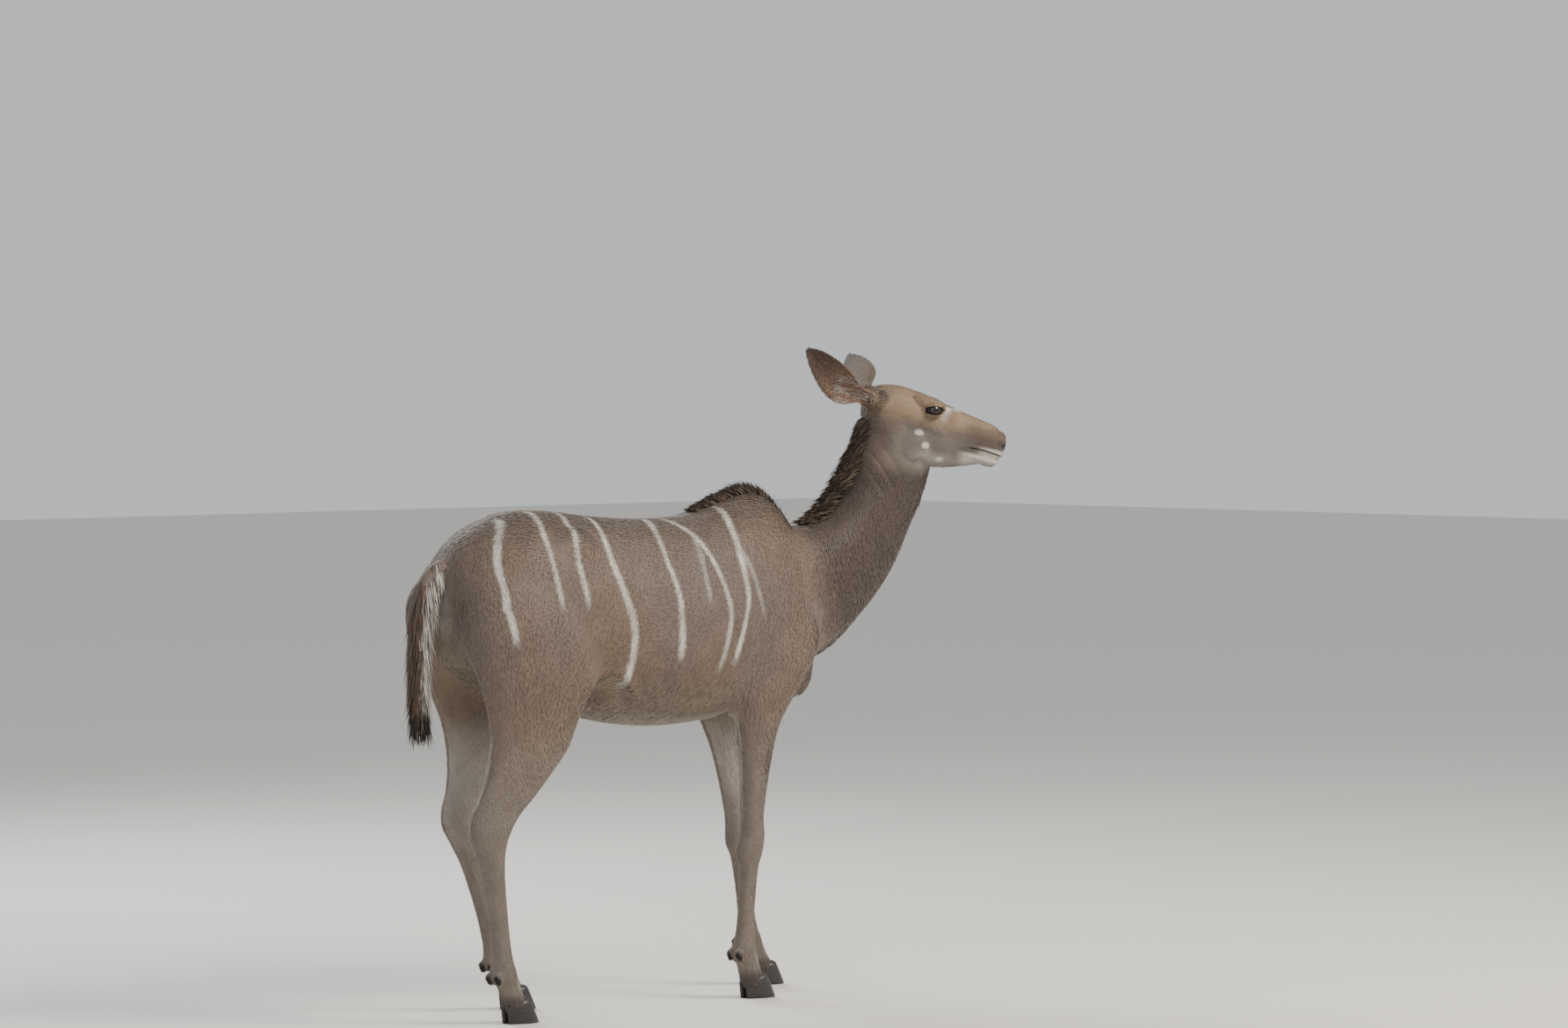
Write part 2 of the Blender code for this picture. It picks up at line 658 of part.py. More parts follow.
def shape_head(head):
    """Cuts the head free of the neck and the ears, and opens the eyes, mouth and nostrils."""
    part_off(head, NECK_CUT, keep=(0.30, 0, -0.06))
    for name in EARS:
        root, axis, _ = ear_frame(name)
        cut_away(head, root + axis * (EAR_STALK - GAP / 2), axis, 0.034)
    thin_out(head, HEAD_TRIANGLES)
    cutters = [mouth_cutter(surface_of(head))]
    for side in (-1, 1):
        cutters += [ball("socket", eye_frame(side)[0], EYE_RADIUS + GAP), eye_opening(side), nostril_cutter(side)]
    return combine(head, cutters, "DIFFERENCE")


def ear(name):
    """A large cupped ear: a solid root that opens into a thin shell, widest at its middle."""
    root, axis, front = ear_frame(name)
    across = axis.cross(front)
    steps = np.arange(-5, 6) / 5
    rings = []
    for share, half_girth, spread, cup in EAR_SHELL:
        spread = math.radians(spread)
        radius = half_girth / spread if share > 0.1 else EAR_ROOT_RADIUS
        thick = EAR_SHELL_THICK - 0.0022 * share
        spine = root + axis * (EAR_STALK + GAP / 2 + share * (EAR_LENGTH - EAR_STALK))
        spine -= front * (radius if share < 0.1 else EAR_ROOT_RADIUS * (1 - share) ** 2)
        spine += front * EAR_TIP_FORWARD * share**2.2 + across * EARS[name][3] * share**2
        outer = [across * radius * math.sin(spread * s) + front * radius * (1 - math.cos(spread * s)) for s in steps]
        inner = []
        for s in steps:
            hollow = radius - thick * (1 - 0.45 * abs(s))
            turn = spread * s * 0.97
            shell = across * hollow * math.sin(turn) + front * (radius - hollow * math.cos(turn))
            chord = across * radius * math.sin(spread) * s + front * radius * (1 - math.cos(spread))
            inner.append(shell * cup + (chord * 0.98 + front * 0.0004) * (1 - cup))
        rings.append([tuple(spine + p) for p in outer + inner[::-1]])
    made = tube(name, rings)
    made.data.transform(head_place())
    return made


def coronet(leg):
    """The front and rear of a foot where its horn begins, before the leg's shift, and that shift."""
    rows = np.array(leg_rows(leg)[::-1])
    front, rear = (np.interp(CORONET_HEIGHT, rows[:, 0], rows[:, k]) for k in (1, 2))
    return front, rear, leg_shift(leg, CORONET_HEIGHT)


def hoof(leg, claw):
    """One claw of a hoof: a horn wedge with a flat sole, rounded outside and flat towards its twin."""
    front, rear, shift = coronet(leg)
    middle = leg_side(leg) * leg_rows(leg)[-1][4]
    rings = []
    for share in (0.0, 0.12, 0.55, 1.0):
        ring = []
        toe = front + 0.030 - 0.028 * share
        heel = toe - HOOF_LENGTH + 0.022 * share
        for turn in 2 * math.pi * np.arange(16) / 16:
            along = 0.5 + 0.5 * math.cos(turn)
            x = heel + (toe - heel) * along
            full = CLAW_WIDTH * (0.60 + 0.40 * math.sin(math.pi * min(1.0, 0.25 + 0.75 * (1 - along)) ** 0.8))
            wide = math.sin(turn)
            y = 0.0028 + 0.0035 * along * (1 - share)
            y += full * (0.5 + 0.5 * math.copysign(abs(wide) ** 0.75, wide)) * (1 - 0.10 * share)
            rim = CORONET_HEIGHT + CORONET_SLOPE * (x - (front + rear) / 2) - GAP / 2
            if share == 0.0:
                x -= 0.0035 * (along - 0.5) * 2
            ring.append((x + shift, middle + claw * y, share * rim))
        rings.append(ring)
    suffix = "inner" if claw * leg_side(leg) < 0 else "outer"
    return tube(f"hoof_{leg.replace('leg', '')}_{suffix}", rings)


def lock(root, way, lie, face, length, width, thick):
    """A flat, tapered lock of hair, sunk at its root, that bends from the way it grows to its lie."""
    rings = []
    point = root - way * LOCK_SINK
    last = 0.0
    for share, size in LOCK_STATIONS:
        heading = way.lerp(lie, share).normalized()
        point = point + heading * (length + LOCK_SINK) * (share - last)
        last = share
        across = heading.cross(face).normalized() * width / 2 * size
        out = across.cross(heading).normalized() * thick / 2 * (0.35 + 0.65 * size)
        rings.append([tuple(point + v) for v in (across, out, -across, -out)])
    return tube("lock", rings)


def grown_from(tree, start, way):
    """The place on a surface above a point inside it."""
    return tree.ray_cast(start + way, -way)[0]


def mane_locks(neck):
    """Two staggered rows of short locks, which stand off the nape and bend down the neck."""
    tree = surface_of(neck)
    chance = random.Random(11)
    frames = neck_frames(12)
    made = []
    for i in range(MANE_LOCKS):
        share = (i + 0.5) / MANE_LOCKS
        place = MANE_REACH[0] + (MANE_REACH[1] - MANE_REACH[0]) * share
        centre, side, nape = frames[round(place * (len(frames) - 1))][:3]
        down = nape.cross(side)
        row = (-1 if i % 2 else 1) * MANE_ROW + chance.uniform(-0.05, 0.05)
        out = nape * math.cos(row) + side * math.sin(row)
        root = grown_from(tree, centre, out)
        size = (0.62 + 0.38 * math.sin(math.pi * share) ** 0.6) * chance.uniform(0.80, 1.18)
        face = (side + out * math.sin(row) + down * chance.uniform(-0.25, 0.25)).normalized()
        way = (out * 0.86 + down * 0.50).normalized()
        lie = (out * chance.uniform(0.20, 0.42) + down).normalized()
        made.append(lock(root, way, lie, face, MANE_LENGTH * size, 0.031 * size, 0.0075))
    return made


def crest_locks(torso):
    """Two staggered rows of locks along the withers, which lie backwards."""
    tree = surface_of(torso)
    chance = random.Random(5)
    made = []
    for i in range(CREST_LOCKS):
        share = (i + 0.5) / CREST_LOCKS
        x = CREST_REACH[0] + (CREST_REACH[1] - CREST_REACH[0]) * share
        y = (-1 if i % 2 else 1) * CREST_ROW + chance.uniform(-0.002, 0.002)
        root, out, _, _ = tree.ray_cast(Vector((x, y, WITHERS_HEIGHT + 0.3)), Vector((0, 0, -1)))
        size = (0.60 + 0.40 * math.sin(math.pi * share) ** 0.7) * chance.uniform(0.9, 1.1)
        back = (Vector((-1, 0, 0)) - out * Vector((-1, 0, 0)).dot(out)).normalized()
        face = Vector((chance.uniform(-0.2, 0.2), 1, -y * 12)).normalized()
        way = (out * 0.85 + back * 0.53).normalized()
        lie = (out * chance.uniform(0.18, 0.36) + back).normalized()
        made.append(lock(root, way, lie, face, CREST_LENGTH * size, 0.031, 0.0080))
    return made


def tail_locks(tail):
    """The hair of the tail: locks that hang along it, spread to both sides and end in a tuft."""
    tree = surface_of(tail)
    chance = random.Random(3)
    down = Vector((0, 0, -1))
    made = []
    for i in range(TAIL_LOCKS):
        height = TAIL_HAIR[0] + (TAIL_HAIR[1] - TAIL_HAIR[0]) * i / (TAIL_LOCKS - 1)
        x = np.interp(-height, [-row[1] for row in TAIL[2:]], [row[0] for row in TAIL[2:]])
        turn = i * 2.4 + chance.uniform(-0.3, 0.3)
        out = Vector((0.75 * math.cos(turn), math.sin(turn), 0)).normalized()
        root = grown_from(tree, Vector((x, 0, height)), out)
        way = (out * 0.42 + down).normalized()
        lie = (out * chance.uniform(-0.06, 0.10) + down).normalized()
        length = TAIL_LOCK_LENGTH * chance.uniform(0.85, 1.0)
        made.append(lock(root, way, lie, out, length, 0.030, 0.0085))
    return made


def leg_cut(name):
    """The plane that parts a leg from the trunk: higher outside than inside, and rising away from the belly."""
    point, way = FORELEG_CUT if name.startswith("fore") else HINDLEG_CUT
    return point, (way[0], leg_side(name) * way[1], way[2])


def surface_of(obj):
    return BVHTree.FromObject(obj, bpy.context.evaluated_depsgraph_get())


def part_off(obj, cut, beyond=False, keep=None):
    """Cuts an object at a plane, half a gap back from it, and keeps the side before or beyond it."""
    point, way = Vector(cut[0]), Vector(cut[1]).normalized()
    way = -way if beyond else way
    cut_away(obj, point - way * GAP / 2, way)
    return keep_piece(obj, keep)


def moved(cut, place):
    """A cut's point and way from the head's own frame to the cow's."""
    return place @ Vector(cut[0]), place.to_3x3() @ Vector(cut[1])


def leg_nodes(body, name):
    """A leg cut from the body, down to its coronet, and the two claws below it."""
    front, rear, shift = coronet(name)
    middle = leg_side(name) * leg_rows(name)[-1][4]
    ankle = Vector(((front + rear) / 2 + shift, middle, CORONET_HEIGHT))
    leg = part_off(copy_of(body, name), leg_cut(name), beyond=True, keep=ankle)
    cut_away(leg, ankle, Vector((CORONET_SLOPE, 0, -1)))
    return [keep_piece(leg)] + [hoof(name, claw) for claw in (-1, 1)]


def main_nodes():
    body = whole_body()
    head = whole_head()
    place = head_place()
    chest = (0, 0, 1.0)
    part_off(body, moved(NECK_CUT, place), beyond=True, keep=chest)
    way = Vector(TAIL_CUT[1]).normalized()
    cut_away(body, Vector(TAIL_CUT[0]) - way * GAP / 2, way, 0.060)
    keep_piece(body, chest)
    tail = part_off(tube("tail", tail_rings(TAIL)), TAIL_CUT, beyond=True)
    nodes = [combine(tail, tail_locks(tail), "UNION")]
    for name in STANCE:
        nodes += leg_nodes(body, name)
    for name in STANCE:
        part_off(body, leg_cut(name), keep=chest)

    neck = part_off(copy_of(body, "neck"), SHOULDER_CUT, beyond=True, keep=POLL)
    torso = part_off(body, SHOULDER_CUT)
    torso.name = "torso"
    nodes += [combine(torso, crest_locks(torso), "UNION", "MANIFOLD"), combine(neck, mane_locks(neck), "UNION")]

    shape_head(head).data.transform(place)
    nodes.append(head)
    for side, name in ((-1, "eye_right"), (1, "eye_left")):
        eye = ball(name, eye_frame(side)[0], EYE_RADIUS)
        eye.data.transform(place)
        nodes.append(eye)
    return nodes + [ear(name) for name in EARS]


def dress(nodes):
    """Gives each node its own material and hangs it from one empty, which centres the whole over the origin."""
    low = [min(vert.co[k] for node in nodes for vert in node.data.vertices) for k in range(3)]
    high = [max(vert.co[k] for node in nodes for vert in node.data.vertices) for k in range(3)]
    stand = bpy.data.objects.new("kudu", None)
    bpy.context.scene.collection.objects.link(stand)
    stand.location = (-(low[0] + high[0]) / 2, -(low[1] + high[1]) / 2, -low[2])
    for node in nodes:
        if node.name.startswith("eye"):
            look = finish(node.name, EYE_BROWN, 0.10)
        elif node.name.startswith("hoof"):
            look = finish(node.name, HORN_BLACK, 0.45)
        else:
            look = finish(node.name, COAT, 0.80)
        node.data.name = node.name
        node.data.materials.clear()
        node.data.materials.append(look)
        node.data.shade_smooth()
        node.data.set_sharp_from_angle(angle=math.radians(50))
        node.parent = stand


clear_scene()
dress(main_nodes())
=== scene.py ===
"""A life-size greater kudu cow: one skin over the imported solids, with coat, long hair, eyes and hooves."""

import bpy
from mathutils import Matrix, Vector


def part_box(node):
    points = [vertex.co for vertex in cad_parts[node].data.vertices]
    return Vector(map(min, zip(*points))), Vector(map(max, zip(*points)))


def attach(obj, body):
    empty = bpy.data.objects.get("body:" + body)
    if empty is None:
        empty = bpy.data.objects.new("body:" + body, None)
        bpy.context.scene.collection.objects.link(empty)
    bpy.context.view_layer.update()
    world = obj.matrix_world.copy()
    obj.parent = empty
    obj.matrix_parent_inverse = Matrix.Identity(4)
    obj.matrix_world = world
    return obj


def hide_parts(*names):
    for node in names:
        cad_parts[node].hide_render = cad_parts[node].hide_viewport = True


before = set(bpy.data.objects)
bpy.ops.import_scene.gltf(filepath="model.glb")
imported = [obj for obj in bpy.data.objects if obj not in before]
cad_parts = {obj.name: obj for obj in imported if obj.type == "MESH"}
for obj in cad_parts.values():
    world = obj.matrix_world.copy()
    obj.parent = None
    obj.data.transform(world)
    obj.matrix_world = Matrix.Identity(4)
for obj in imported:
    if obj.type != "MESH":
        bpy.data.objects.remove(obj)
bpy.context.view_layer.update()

import math

import bmesh
import bpy
import numpy as np
from mathutils import Matrix, Vector
from mathutils.bvhtree import BVHTree

# The cow's stance.
# Every form below is in the cow's own frame: metres, +X ahead, +Y her left, hooves on z = 0.
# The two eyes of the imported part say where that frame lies.

HEAD_PITCH = math.radians(12)  # nose below level
HEAD_TURN = math.radians(31)  # to her right
POLL = Vector((0.700, -0.052, 1.454))  # the crown between the ears, where the head's own frame starts
EYE_RADIUS = 0.0195
EYE_PLACE = Vector((0.150, 0.0475, -0.030))  # in the head's frame: +X to the nose, +Z up
EYE_AXIS = Vector((0.20, 0.96, 0.10)).normalized()

HEAD = Matrix.Translation(POLL) @ Matrix.Rotation(-HEAD_TURN, 4, "Z") @ Matrix.Rotation(HEAD_PITCH, 4, "Y")


def middle_of(node):
    low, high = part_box(node)
    return (Vector(low) + Vector(high)) / 2


between_eyes = (middle_of("eye_left") + middle_of("eye_right")) / 2
STAND = between_eyes - HEAD @ Vector((EYE_PLACE.x, 0, EYE_PLACE.z))

# The flesh and hide.
# One skin from nose to hooves, made as a taxidermist's form is: lofted limbs and masses of muscle, fused and
# smoothed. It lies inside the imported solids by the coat's depth, and the short coat then fills that depth.

# Place along her, back, belly, half width, and how much wider the section is below.
TRUNK = (
    (-0.645, 1.050, 0.930, 0.045, 0.00),
    (-0.610, 1.098, 0.850, 0.100, 0.00),
    (-0.540, 1.143, 0.790, 0.140, 0.00),
    (-0.440, 1.171, 0.745, 0.166, 0.02),
    (-0.330, 1.171, 0.725, 0.172, 0.05),
    (-0.200, 1.157, 0.680, 0.188, 0.10),
    (-0.040, 1.147, 0.655, 0.208, 0.14),
    (0.110, 1.152, 0.658, 0.204, 0.12),
    (0.230, 1.182, 0.672, 0.180, 0.10),
    (0.330, 1.200, 0.684, 0.150, 0.10),
    (0.410, 1.160, 0.700, 0.122, 0.06),
    (0.470, 1.070, 0.735, 0.098, 0.04),
    (0.510, 0.980, 0.790, 0.070, 0.00),
)
# Centre, half width, and how far the nape and the throat lie from the centre.
NECK = (
    (0.320, 0.000, 0.960, 0.105, 0.170, 0.180),
    (0.470, 0.000, 0.990, 0.104, 0.140, 0.212),
    (0.580, -0.009, 1.045, 0.092, 0.096, 0.188),
    (0.662, -0.022, 1.112, 0.080, 0.084, 0.162),
    (0.722, -0.041, 1.190, 0.070, 0.088, 0.125),
    (0.754, -0.060, 1.270, 0.064, 0.092, 0.108),
    (0.764, -0.078, 1.345, 0.062, 0.088, 0.092),
    (0.768, -0.086, 1.395, 0.056, 0.070, 0.070),
)
# Each leg: height, front, rear, half width, and how far its middle lies from hers.
FORELEG = (
    (0.960, 0.440, 0.290, 0.030, 0.085),
    (0.870, 0.462, 0.235, 0.048, 0.104),
    (0.790, 0.444, 0.198, 0.054, 0.113),
    (0.720, 0.396, 0.196, 0.052, 0.113),
    (0.660, 0.356, 0.218, 0.045, 0.109),
    (0.590, 0.338, 0.240, 0.036, 0.104),
    (0.500, 0.326, 0.253, 0.030, 0.101),
    (0.430, 0.321, 0.258, 0.027, 0.100),
    (0.390, 0.325, 0.258, 0.030, 0.100),
    (0.350, 0.322, 0.252, 0.030, 0.100),
    (0.310, 0.312, 0.262, 0.023, 0.100),
    (0.220, 0.308, 0.264, 0.0195, 0.100),
    (0.155, 0.309, 0.260, 0.0215, 0.100),
    (0.120, 0.316, 0.252, 0.0270, 0.100),
    (0.085, 0.327, 0.268, 0.0250, 0.100),
    (0.055, 0.340, 0.281, 0.0280, 0.100),
    (0.020, 0.352, 0.292, 0.0280, 0.100),
)
HINDLEG = (
    (1.060, -0.380, -0.585, 0.050, 0.080),
    (0.980, -0.335, -0.650, 0.078, 0.098),
    (0.900, -0.300, -0.662, 0.086, 0.108),
    (0.820, -0.286, -0.642, 0.080, 0.116),
    (0.750, -0.310, -0.618, 0.068, 0.120),
    (0.690, -0.336, -0.604, 0.055, 0.119),
    (0.630, -0.364, -0.602, 0.046, 0.116),
    (0.570, -0.418, -0.612, 0.039, 0.113),
    (0.520, -0.466, -0.632, 0.033, 0.110),
    (0.480, -0.510, -0.655, 0.030, 0.108),
    (0.440, -0.543, -0.660, 0.033, 0.108),
    (0.400, -0.559, -0.644, 0.029, 0.108),
    (0.340, -0.562, -0.622, 0.0225, 0.108),
    (0.230, -0.553, -0.602, 0.0200, 0.108),
    (0.160, -0.545, -0.597, 0.0220, 0.108),
    (0.120, -0.534, -0.599, 0.0275, 0.108),
    (0.085, -0.522, -0.581, 0.0250, 0.108),
    (0.055, -0.510, -0.569, 0.0280, 0.108),
    (0.020, -0.498, -0.558, 0.0280, 0.108),
)
# How far each leg stands ahead as a whole, how far its foot swings ahead, and the height it swings about.
STANCE = {
    "foreleg_right": (-0.015, -0.055, 0.85),
    "foreleg_left": (0.030, 0.135, 0.85),
    "hindleg_right": (0.0, 0.020, 0.98),
    "hindleg_left": (0.0, 0.215, 0.98),
}
# In the head's frame: place along it, top, bottom, and half width above and below.
SKULL = (
    (-0.012, -0.030, -0.085, 0.034, 0.034),
    (0.004, -0.010, -0.100, 0.050, 0.044),
    (0.028, 0.004, -0.118, 0.059, 0.050),
    (0.062, 0.010, -0.136, 0.061, 0.048),
    (0.100, 0.011, -0.153, 0.060, 0.046),
    (0.140, 0.006, -0.165, 0.056, 0.043),
    (0.180, -0.004, -0.165, 0.050, 0.038),
    (0.220, -0.012, -0.158, 0.044, 0.034),
    (0.258, -0.020, -0.148, 0.040, 0.032),
    (0.296, -0.027, -0.136, 0.039, 0.031),
    (0.325, -0.034, -0.127, 0.037, 0.030),
    (0.345, -0.050, -0.116, 0.031, 0.025),
    (0.356, -0.068, -0.104, 0.021, 0.016),
)
# Place along her, height, half width and half depth, from the croup to the dock's tip.
TAIL = (
    (-0.580, 1.046, 0.026, 0.022),
    (-0.640, 1.048, 0.024, 0.020),
    (-0.685, 1.020, 0.020, 0.016),
    (-0.704, 0.960, 0.015, 0.012),
    (-0.710, 0.870, 0.012, 0.009),
    (-0.710, 0.780, 0.009, 0.007),
    (-0.706, 0.710, 0.004, 0.003),
)
# In the head's frame: each ear's root, the way it points, and the way its cup opens.
EARS = {
    "ear_right": ((0.014, -0.046, -0.034), (-0.957, -0.290, 0.020), (0.198, -0.955, -0.219)),
    "ear_left": ((0.016, 0.046, -0.030), (-0.20, 0.86, 0.42), (0.70, 0.42, -0.55)),
}
EAR_STALK = 0.022
EAR_ROOT_RADIUS = 0.021
NECK_JOIN = (Vector((-0.010, 0, -0.072)), Vector((-0.69, 0, -0.72)).normalized())
BODY_VOXEL = 0.0060
BODY_ROUNDS = 82  # of smoothing
HEAD_VOXEL = 0.0025
HEAD_ROUNDS = 19


def object_of(name, shape):
    mesh = bpy.data.meshes.new(name)
    shape.to_mesh(mesh)
    shape.free()
    obj = bpy.data.objects.new(name, mesh)
    bpy.context.scene.collection.objects.link(obj)
    return obj


def mesh_object(name, points, faces):
    mesh = bpy.data.meshes.new(name)
    mesh.from_pydata([tuple(map(float, p)) for p in points], [], [tuple(map(int, f)) for f in faces])
    shape = bmesh.new()
    shape.from_mesh(mesh)
    bpy.data.meshes.remove(mesh)
    bmesh.ops.recalc_face_normals(shape, faces=shape.faces[:])
    return object_of(name, shape)


def between(rows, steps):
    """The rows with steps stretches between each two, on a smooth curve through them all."""
    rows = np.array(rows, float)
    ends = np.vstack([2 * rows[0] - rows[1], rows, 2 * rows[-1] - rows[-2]])
    made = []
    for i in range(len(rows) - 1):
        a, b, c, d = ends[i : i + 4]
        for t in np.arange(steps) / steps:
            cubic = (3 * b - a - 3 * c + d) * t**3
            made.append(0.5 * (2 * b + (c - a) * t + (2 * a - 5 * b + 4 * c - d) * t**2 + cubic))
    made.append(rows[-1])
    return np.array(made)


def step_up(values, low, high):
    """0 below low, 1 above high, smooth between."""
    t = np.clip((values - low) / (high - low), 0, 1)
    return t * t * (3 - 2 * t)


def tube(name, rings):
    """A closed form from rings of points, with a flat cap at each end."""
    rings = np.array(rings)
    count, sides = rings.shape[:2]
    faces = []
    for i in range(count - 1):
        for j in range(sides):
            k = (j + 1) % sides
            faces.append((i * sides + j, i * sides + k, (i + 1) * sides + k, (i + 1) * sides + j))
    faces.append(tuple(range(sides))[::-1])
    faces.append(tuple((count - 1) * sides + j for j in range(sides)))
    return mesh_object(name, rings.reshape(-1, 3), faces)


def oval(sides, front, back, half_width, low=0.0, square=2.0):
    turn = 2 * math.pi * np.arange(sides) / sides
    deep = np.sign(np.cos(turn)) * np.abs(np.cos(turn)) ** (2 / square)
    wide = np.sign(np.sin(turn)) * np.abs(np.sin(turn)) ** (2 / square)
    return np.where(deep > 0, deep * front, deep * back), wide * half_width * (1 - low * deep)


def egg(centre, radii, tilt=0.0, turn=0.0, lean=0.0):
    """A round mass of muscle or bone, tilted nose up, turned about the upright axis and leaning."""
    shape = bmesh.new()
    bmesh.ops.create_icosphere(shape, subdivisions=4, radius=1.0)
    place = Matrix.Translation(centre) @ Matrix.Rotation(turn, 4, "Z") @ Matrix.Rotation(lean, 4, "X")
    place = place @ Matrix.Rotation(-tilt, 4, "Y")
    bmesh.ops.transform(shape, matrix=place @ Matrix.Diagonal((*radii, 1)), verts=shape.verts)
    return object_of("egg", shape)


def trunk_form():
    rings = []
    for x, top, bottom, half_width, low in between(TRUNK, 6):
        middle = (top + bottom) / 2
        deep, wide = oval(64, top - middle, middle - bottom, half_width, low, 2.15)
        rings.append(np.stack([np.full(64, x), wide, middle + deep], axis=1))
    return tube("trunk", rings)


def neck_frames(steps=6):
    """Each section of the neck: centre, across, towards the nape, half width, nape and throat depth."""
    rows = between(NECK, steps)
    along = np.gradient(rows[:, :3], axis=0)
    made = []
    for i, row in enumerate(rows):
        forward = Vector(along[i]).normalized()
        share = i / (len(rows) - 1)
        side = Matrix.Rotation(-HEAD_TURN * share**1.5, 3, "Z") @ Vector((0, 1, 0))
        side = (side - side.dot(forward) * forward).normalized()
        made.append((Vector(row[:3]), side, forward.cross(side), *row[3:]))
    return made


def neck_form():
    rings = []
    for centre, side, nape, half_width, nape_depth, throat_depth in neck_frames():
        deep, wide = oval(56, nape_depth, throat_depth, half_width, -0.10, 2.0)
        rings.append([tuple(centre + nape * d + side * w) for d, w in zip(deep, wide)])
    return tube("neck", rings)


def leg_shift(name, height):
    """How far a leg stands ahead of the plain stance at a height."""
    whole, swing, pivot = STANCE[name]
    return whole * step_up(1.0 - height, 0.0, 0.25) + swing * np.clip((pivot - height) / pivot, 0, 1)


def leg_side(name):
    return 1 if name.endswith("left") else -1


def leg_rows(name):
    return FORELEG if name.startswith("fore") else HINDLEG


def leg_form(name):
    rings = []
    for height, front, rear, half_width, off in between(leg_rows(name), 5):
        middle = (front + rear) / 2
        deep, wide = oval(40, front - middle, middle - rear, half_width, 0.0, 2.1)
        x = middle + deep + leg_shift(name, height)
        rings.append(np.stack([x, leg_side(name) * off + wide, np.full(40, height)], axis=1))
    return tube(name, rings)


def dewclaw_places(name):
    height, _, rear, _, off = next(row for row in leg_rows(name) if row[0] == 0.120)
    x = rear + 0.002 + leg_shift(name, height)
    return [Vector((x, leg_side(name) * off + claw * 0.015, height - 0.014)) for claw in (-1, 1)]


def muscles():
    """The masses that show: shoulder blade, upper arm, breast, hip bone, thigh, stifle and flank fold."""
    made = [egg((-0.300, 0, 0.712), (0.075, 0.060, 0.030))]
    for side in (-1, 1):
        made += [
            egg((0.330, side * 0.078, 1.000), (0.072, 0.040, 0.165), math.radians(20), 0.0, side * 0.26),
            egg((0.372, side * 0.100, 0.835), (0.110, 0.046, 0.075), math.radians(22)),
            egg((0.290, side * 0.110, 0.800), (0.080, 0.048, 0.085), math.radians(10)),
            egg((0.275, side * 0.108, 0.900), (0.105, 0.044, 0.110), math.radians(30), 0.0, side * 0.10),
            egg((0.430, side * 0.046, 0.780), (0.062, 0.050, 0.080), math.radians(20)),
            egg((-0.345, side * 0.101, 1.080), (0.090, 0.052, 0.055), math.radians(12)),
            egg((-0.440, side * 0.098, 0.960), (0.150, 0.075, 0.160), math.radians(20)),
            egg((-0.556, side * 0.070, 0.935), (0.090, 0.060, 0.125)),
            egg((-0.360, side * 0.122, 0.800), (0.072, 0.050, 0.100), math.radians(10)),
            egg((-0.230, side * 0.122, 0.850), (0.085, 0.046, 0.066), math.radians(30)),
        ]
    return made


def tail_rings(rows, swell=1.0):
    rings = []
    points = between(rows, 5)
    along = np.gradient(points[:, :2], axis=0)
    for (x, z, half_width, half_depth), (dx, dz) in zip(points, along):
        out = np.array((-dz, 0, dx)) / math.hypot(dx, dz)
        deep, wide = oval(20, half_depth * swell, half_depth * swell, half_width * swell)
        rings.append(np.array((x, 0, z)) + deep[:, None] * out + wide[:, None] * np.array((0, 1, 0)))
    return rings


def skull_form():
    rings = []
    for x, top, bottom, wide_top, wide_low in between(SKULL, 6):
        middle = (top + bottom) / 2
        deep, wide = oval(64, top - middle, middle - bottom, 1.0, 0.0, 2.3)
        lift = step_up(deep / (top - middle), -0.75, 0.45)
        wide = wide * (wide_low + (wide_top - wide_low) * lift)
        rings.append(np.stack([np.full(64, x), wide, middle + deep], axis=1))
    return tube("skull", rings)


def ear_frame(name):
    root, axis, opening = (Vector(v) for v in EARS[name])
    axis.normalize()
    return root, axis, (opening - opening.dot(axis) * axis).normalized()


def ear_stalk(name):
    root, axis, _ = ear_frame(name)
    side = axis.orthogonal().normalized()
    other = axis.cross(side)
    turns = 2 * math.pi * np.arange(32) / 32
    rings = []
    for t in np.linspace(-0.034, EAR_STALK + 0.016, 14):
        swell = 0.009 * math.exp(-(((t + 0.004) / 0.012) ** 2))
        radius = EAR_ROOT_RADIUS + swell - 0.012 * step_up(-t, 0.010, 0.034)
        centre = root + axis * t
        ring = [centre + side * radius * math.cos(a) + other * radius * math.sin(a) for a in turns]
        rings.append([tuple(place) for place in ring])
    return tube("stalk", rings)


def head_masses():
    """Brow, orbit, cheek bone, jaw muscle, nostril wings, lips and chin."""
    made = [
        egg((0.338, 0, -0.066), (0.018, 0.026, 0.024), math.radians(-20)),
        egg((0.316, 0, -0.122), (0.027, 0.023, 0.013), math.radians(-10)),
        egg((0.070, 0, -0.010), (0.070, 0.040, 0.024)),
    ]
    for side in (-1, 1):
        eye = Vector((EYE_PLACE.x, side * EYE_PLACE.y, EYE_PLACE.z))
        made += [
            egg(eye, (EYE_RADIUS + 0.0045,) * 3),
            egg((0.140, side * 0.038, -0.016), (0.046, 0.023, 0.019), math.radians(-6), side * 0.06),
            egg((0.182, side * 0.027, -0.040), (0.050, 0.018, 0.030), math.radians(-10)),
            egg((0.130, side * 0.039, -0.064), (0.080, 0.017, 0.022), math.radians(-12), side * -0.04),
            egg((0.108, side * 0.031, -0.104), (0.066, 0.021, 0.058), math.radians(-25)),
            egg((0.060, side * 0.040, -0.070), (0.050, 0.018, 0.050), math.radians(-10)),
            egg((0.333, side * 0.023, -0.066), (0.022, 0.0125, 0.018), math.radians(-30), side * 0.25),
            egg((0.306, side * 0.0215, -0.091), (0.048, 0.0135, 0.013), math.radians(-6), side * -0.08),
            egg((0.296, side * 0.018, -0.119), (0.048, 0.0125, 0.011), math.radians(-6), side * -0.08),
        ]
    return made


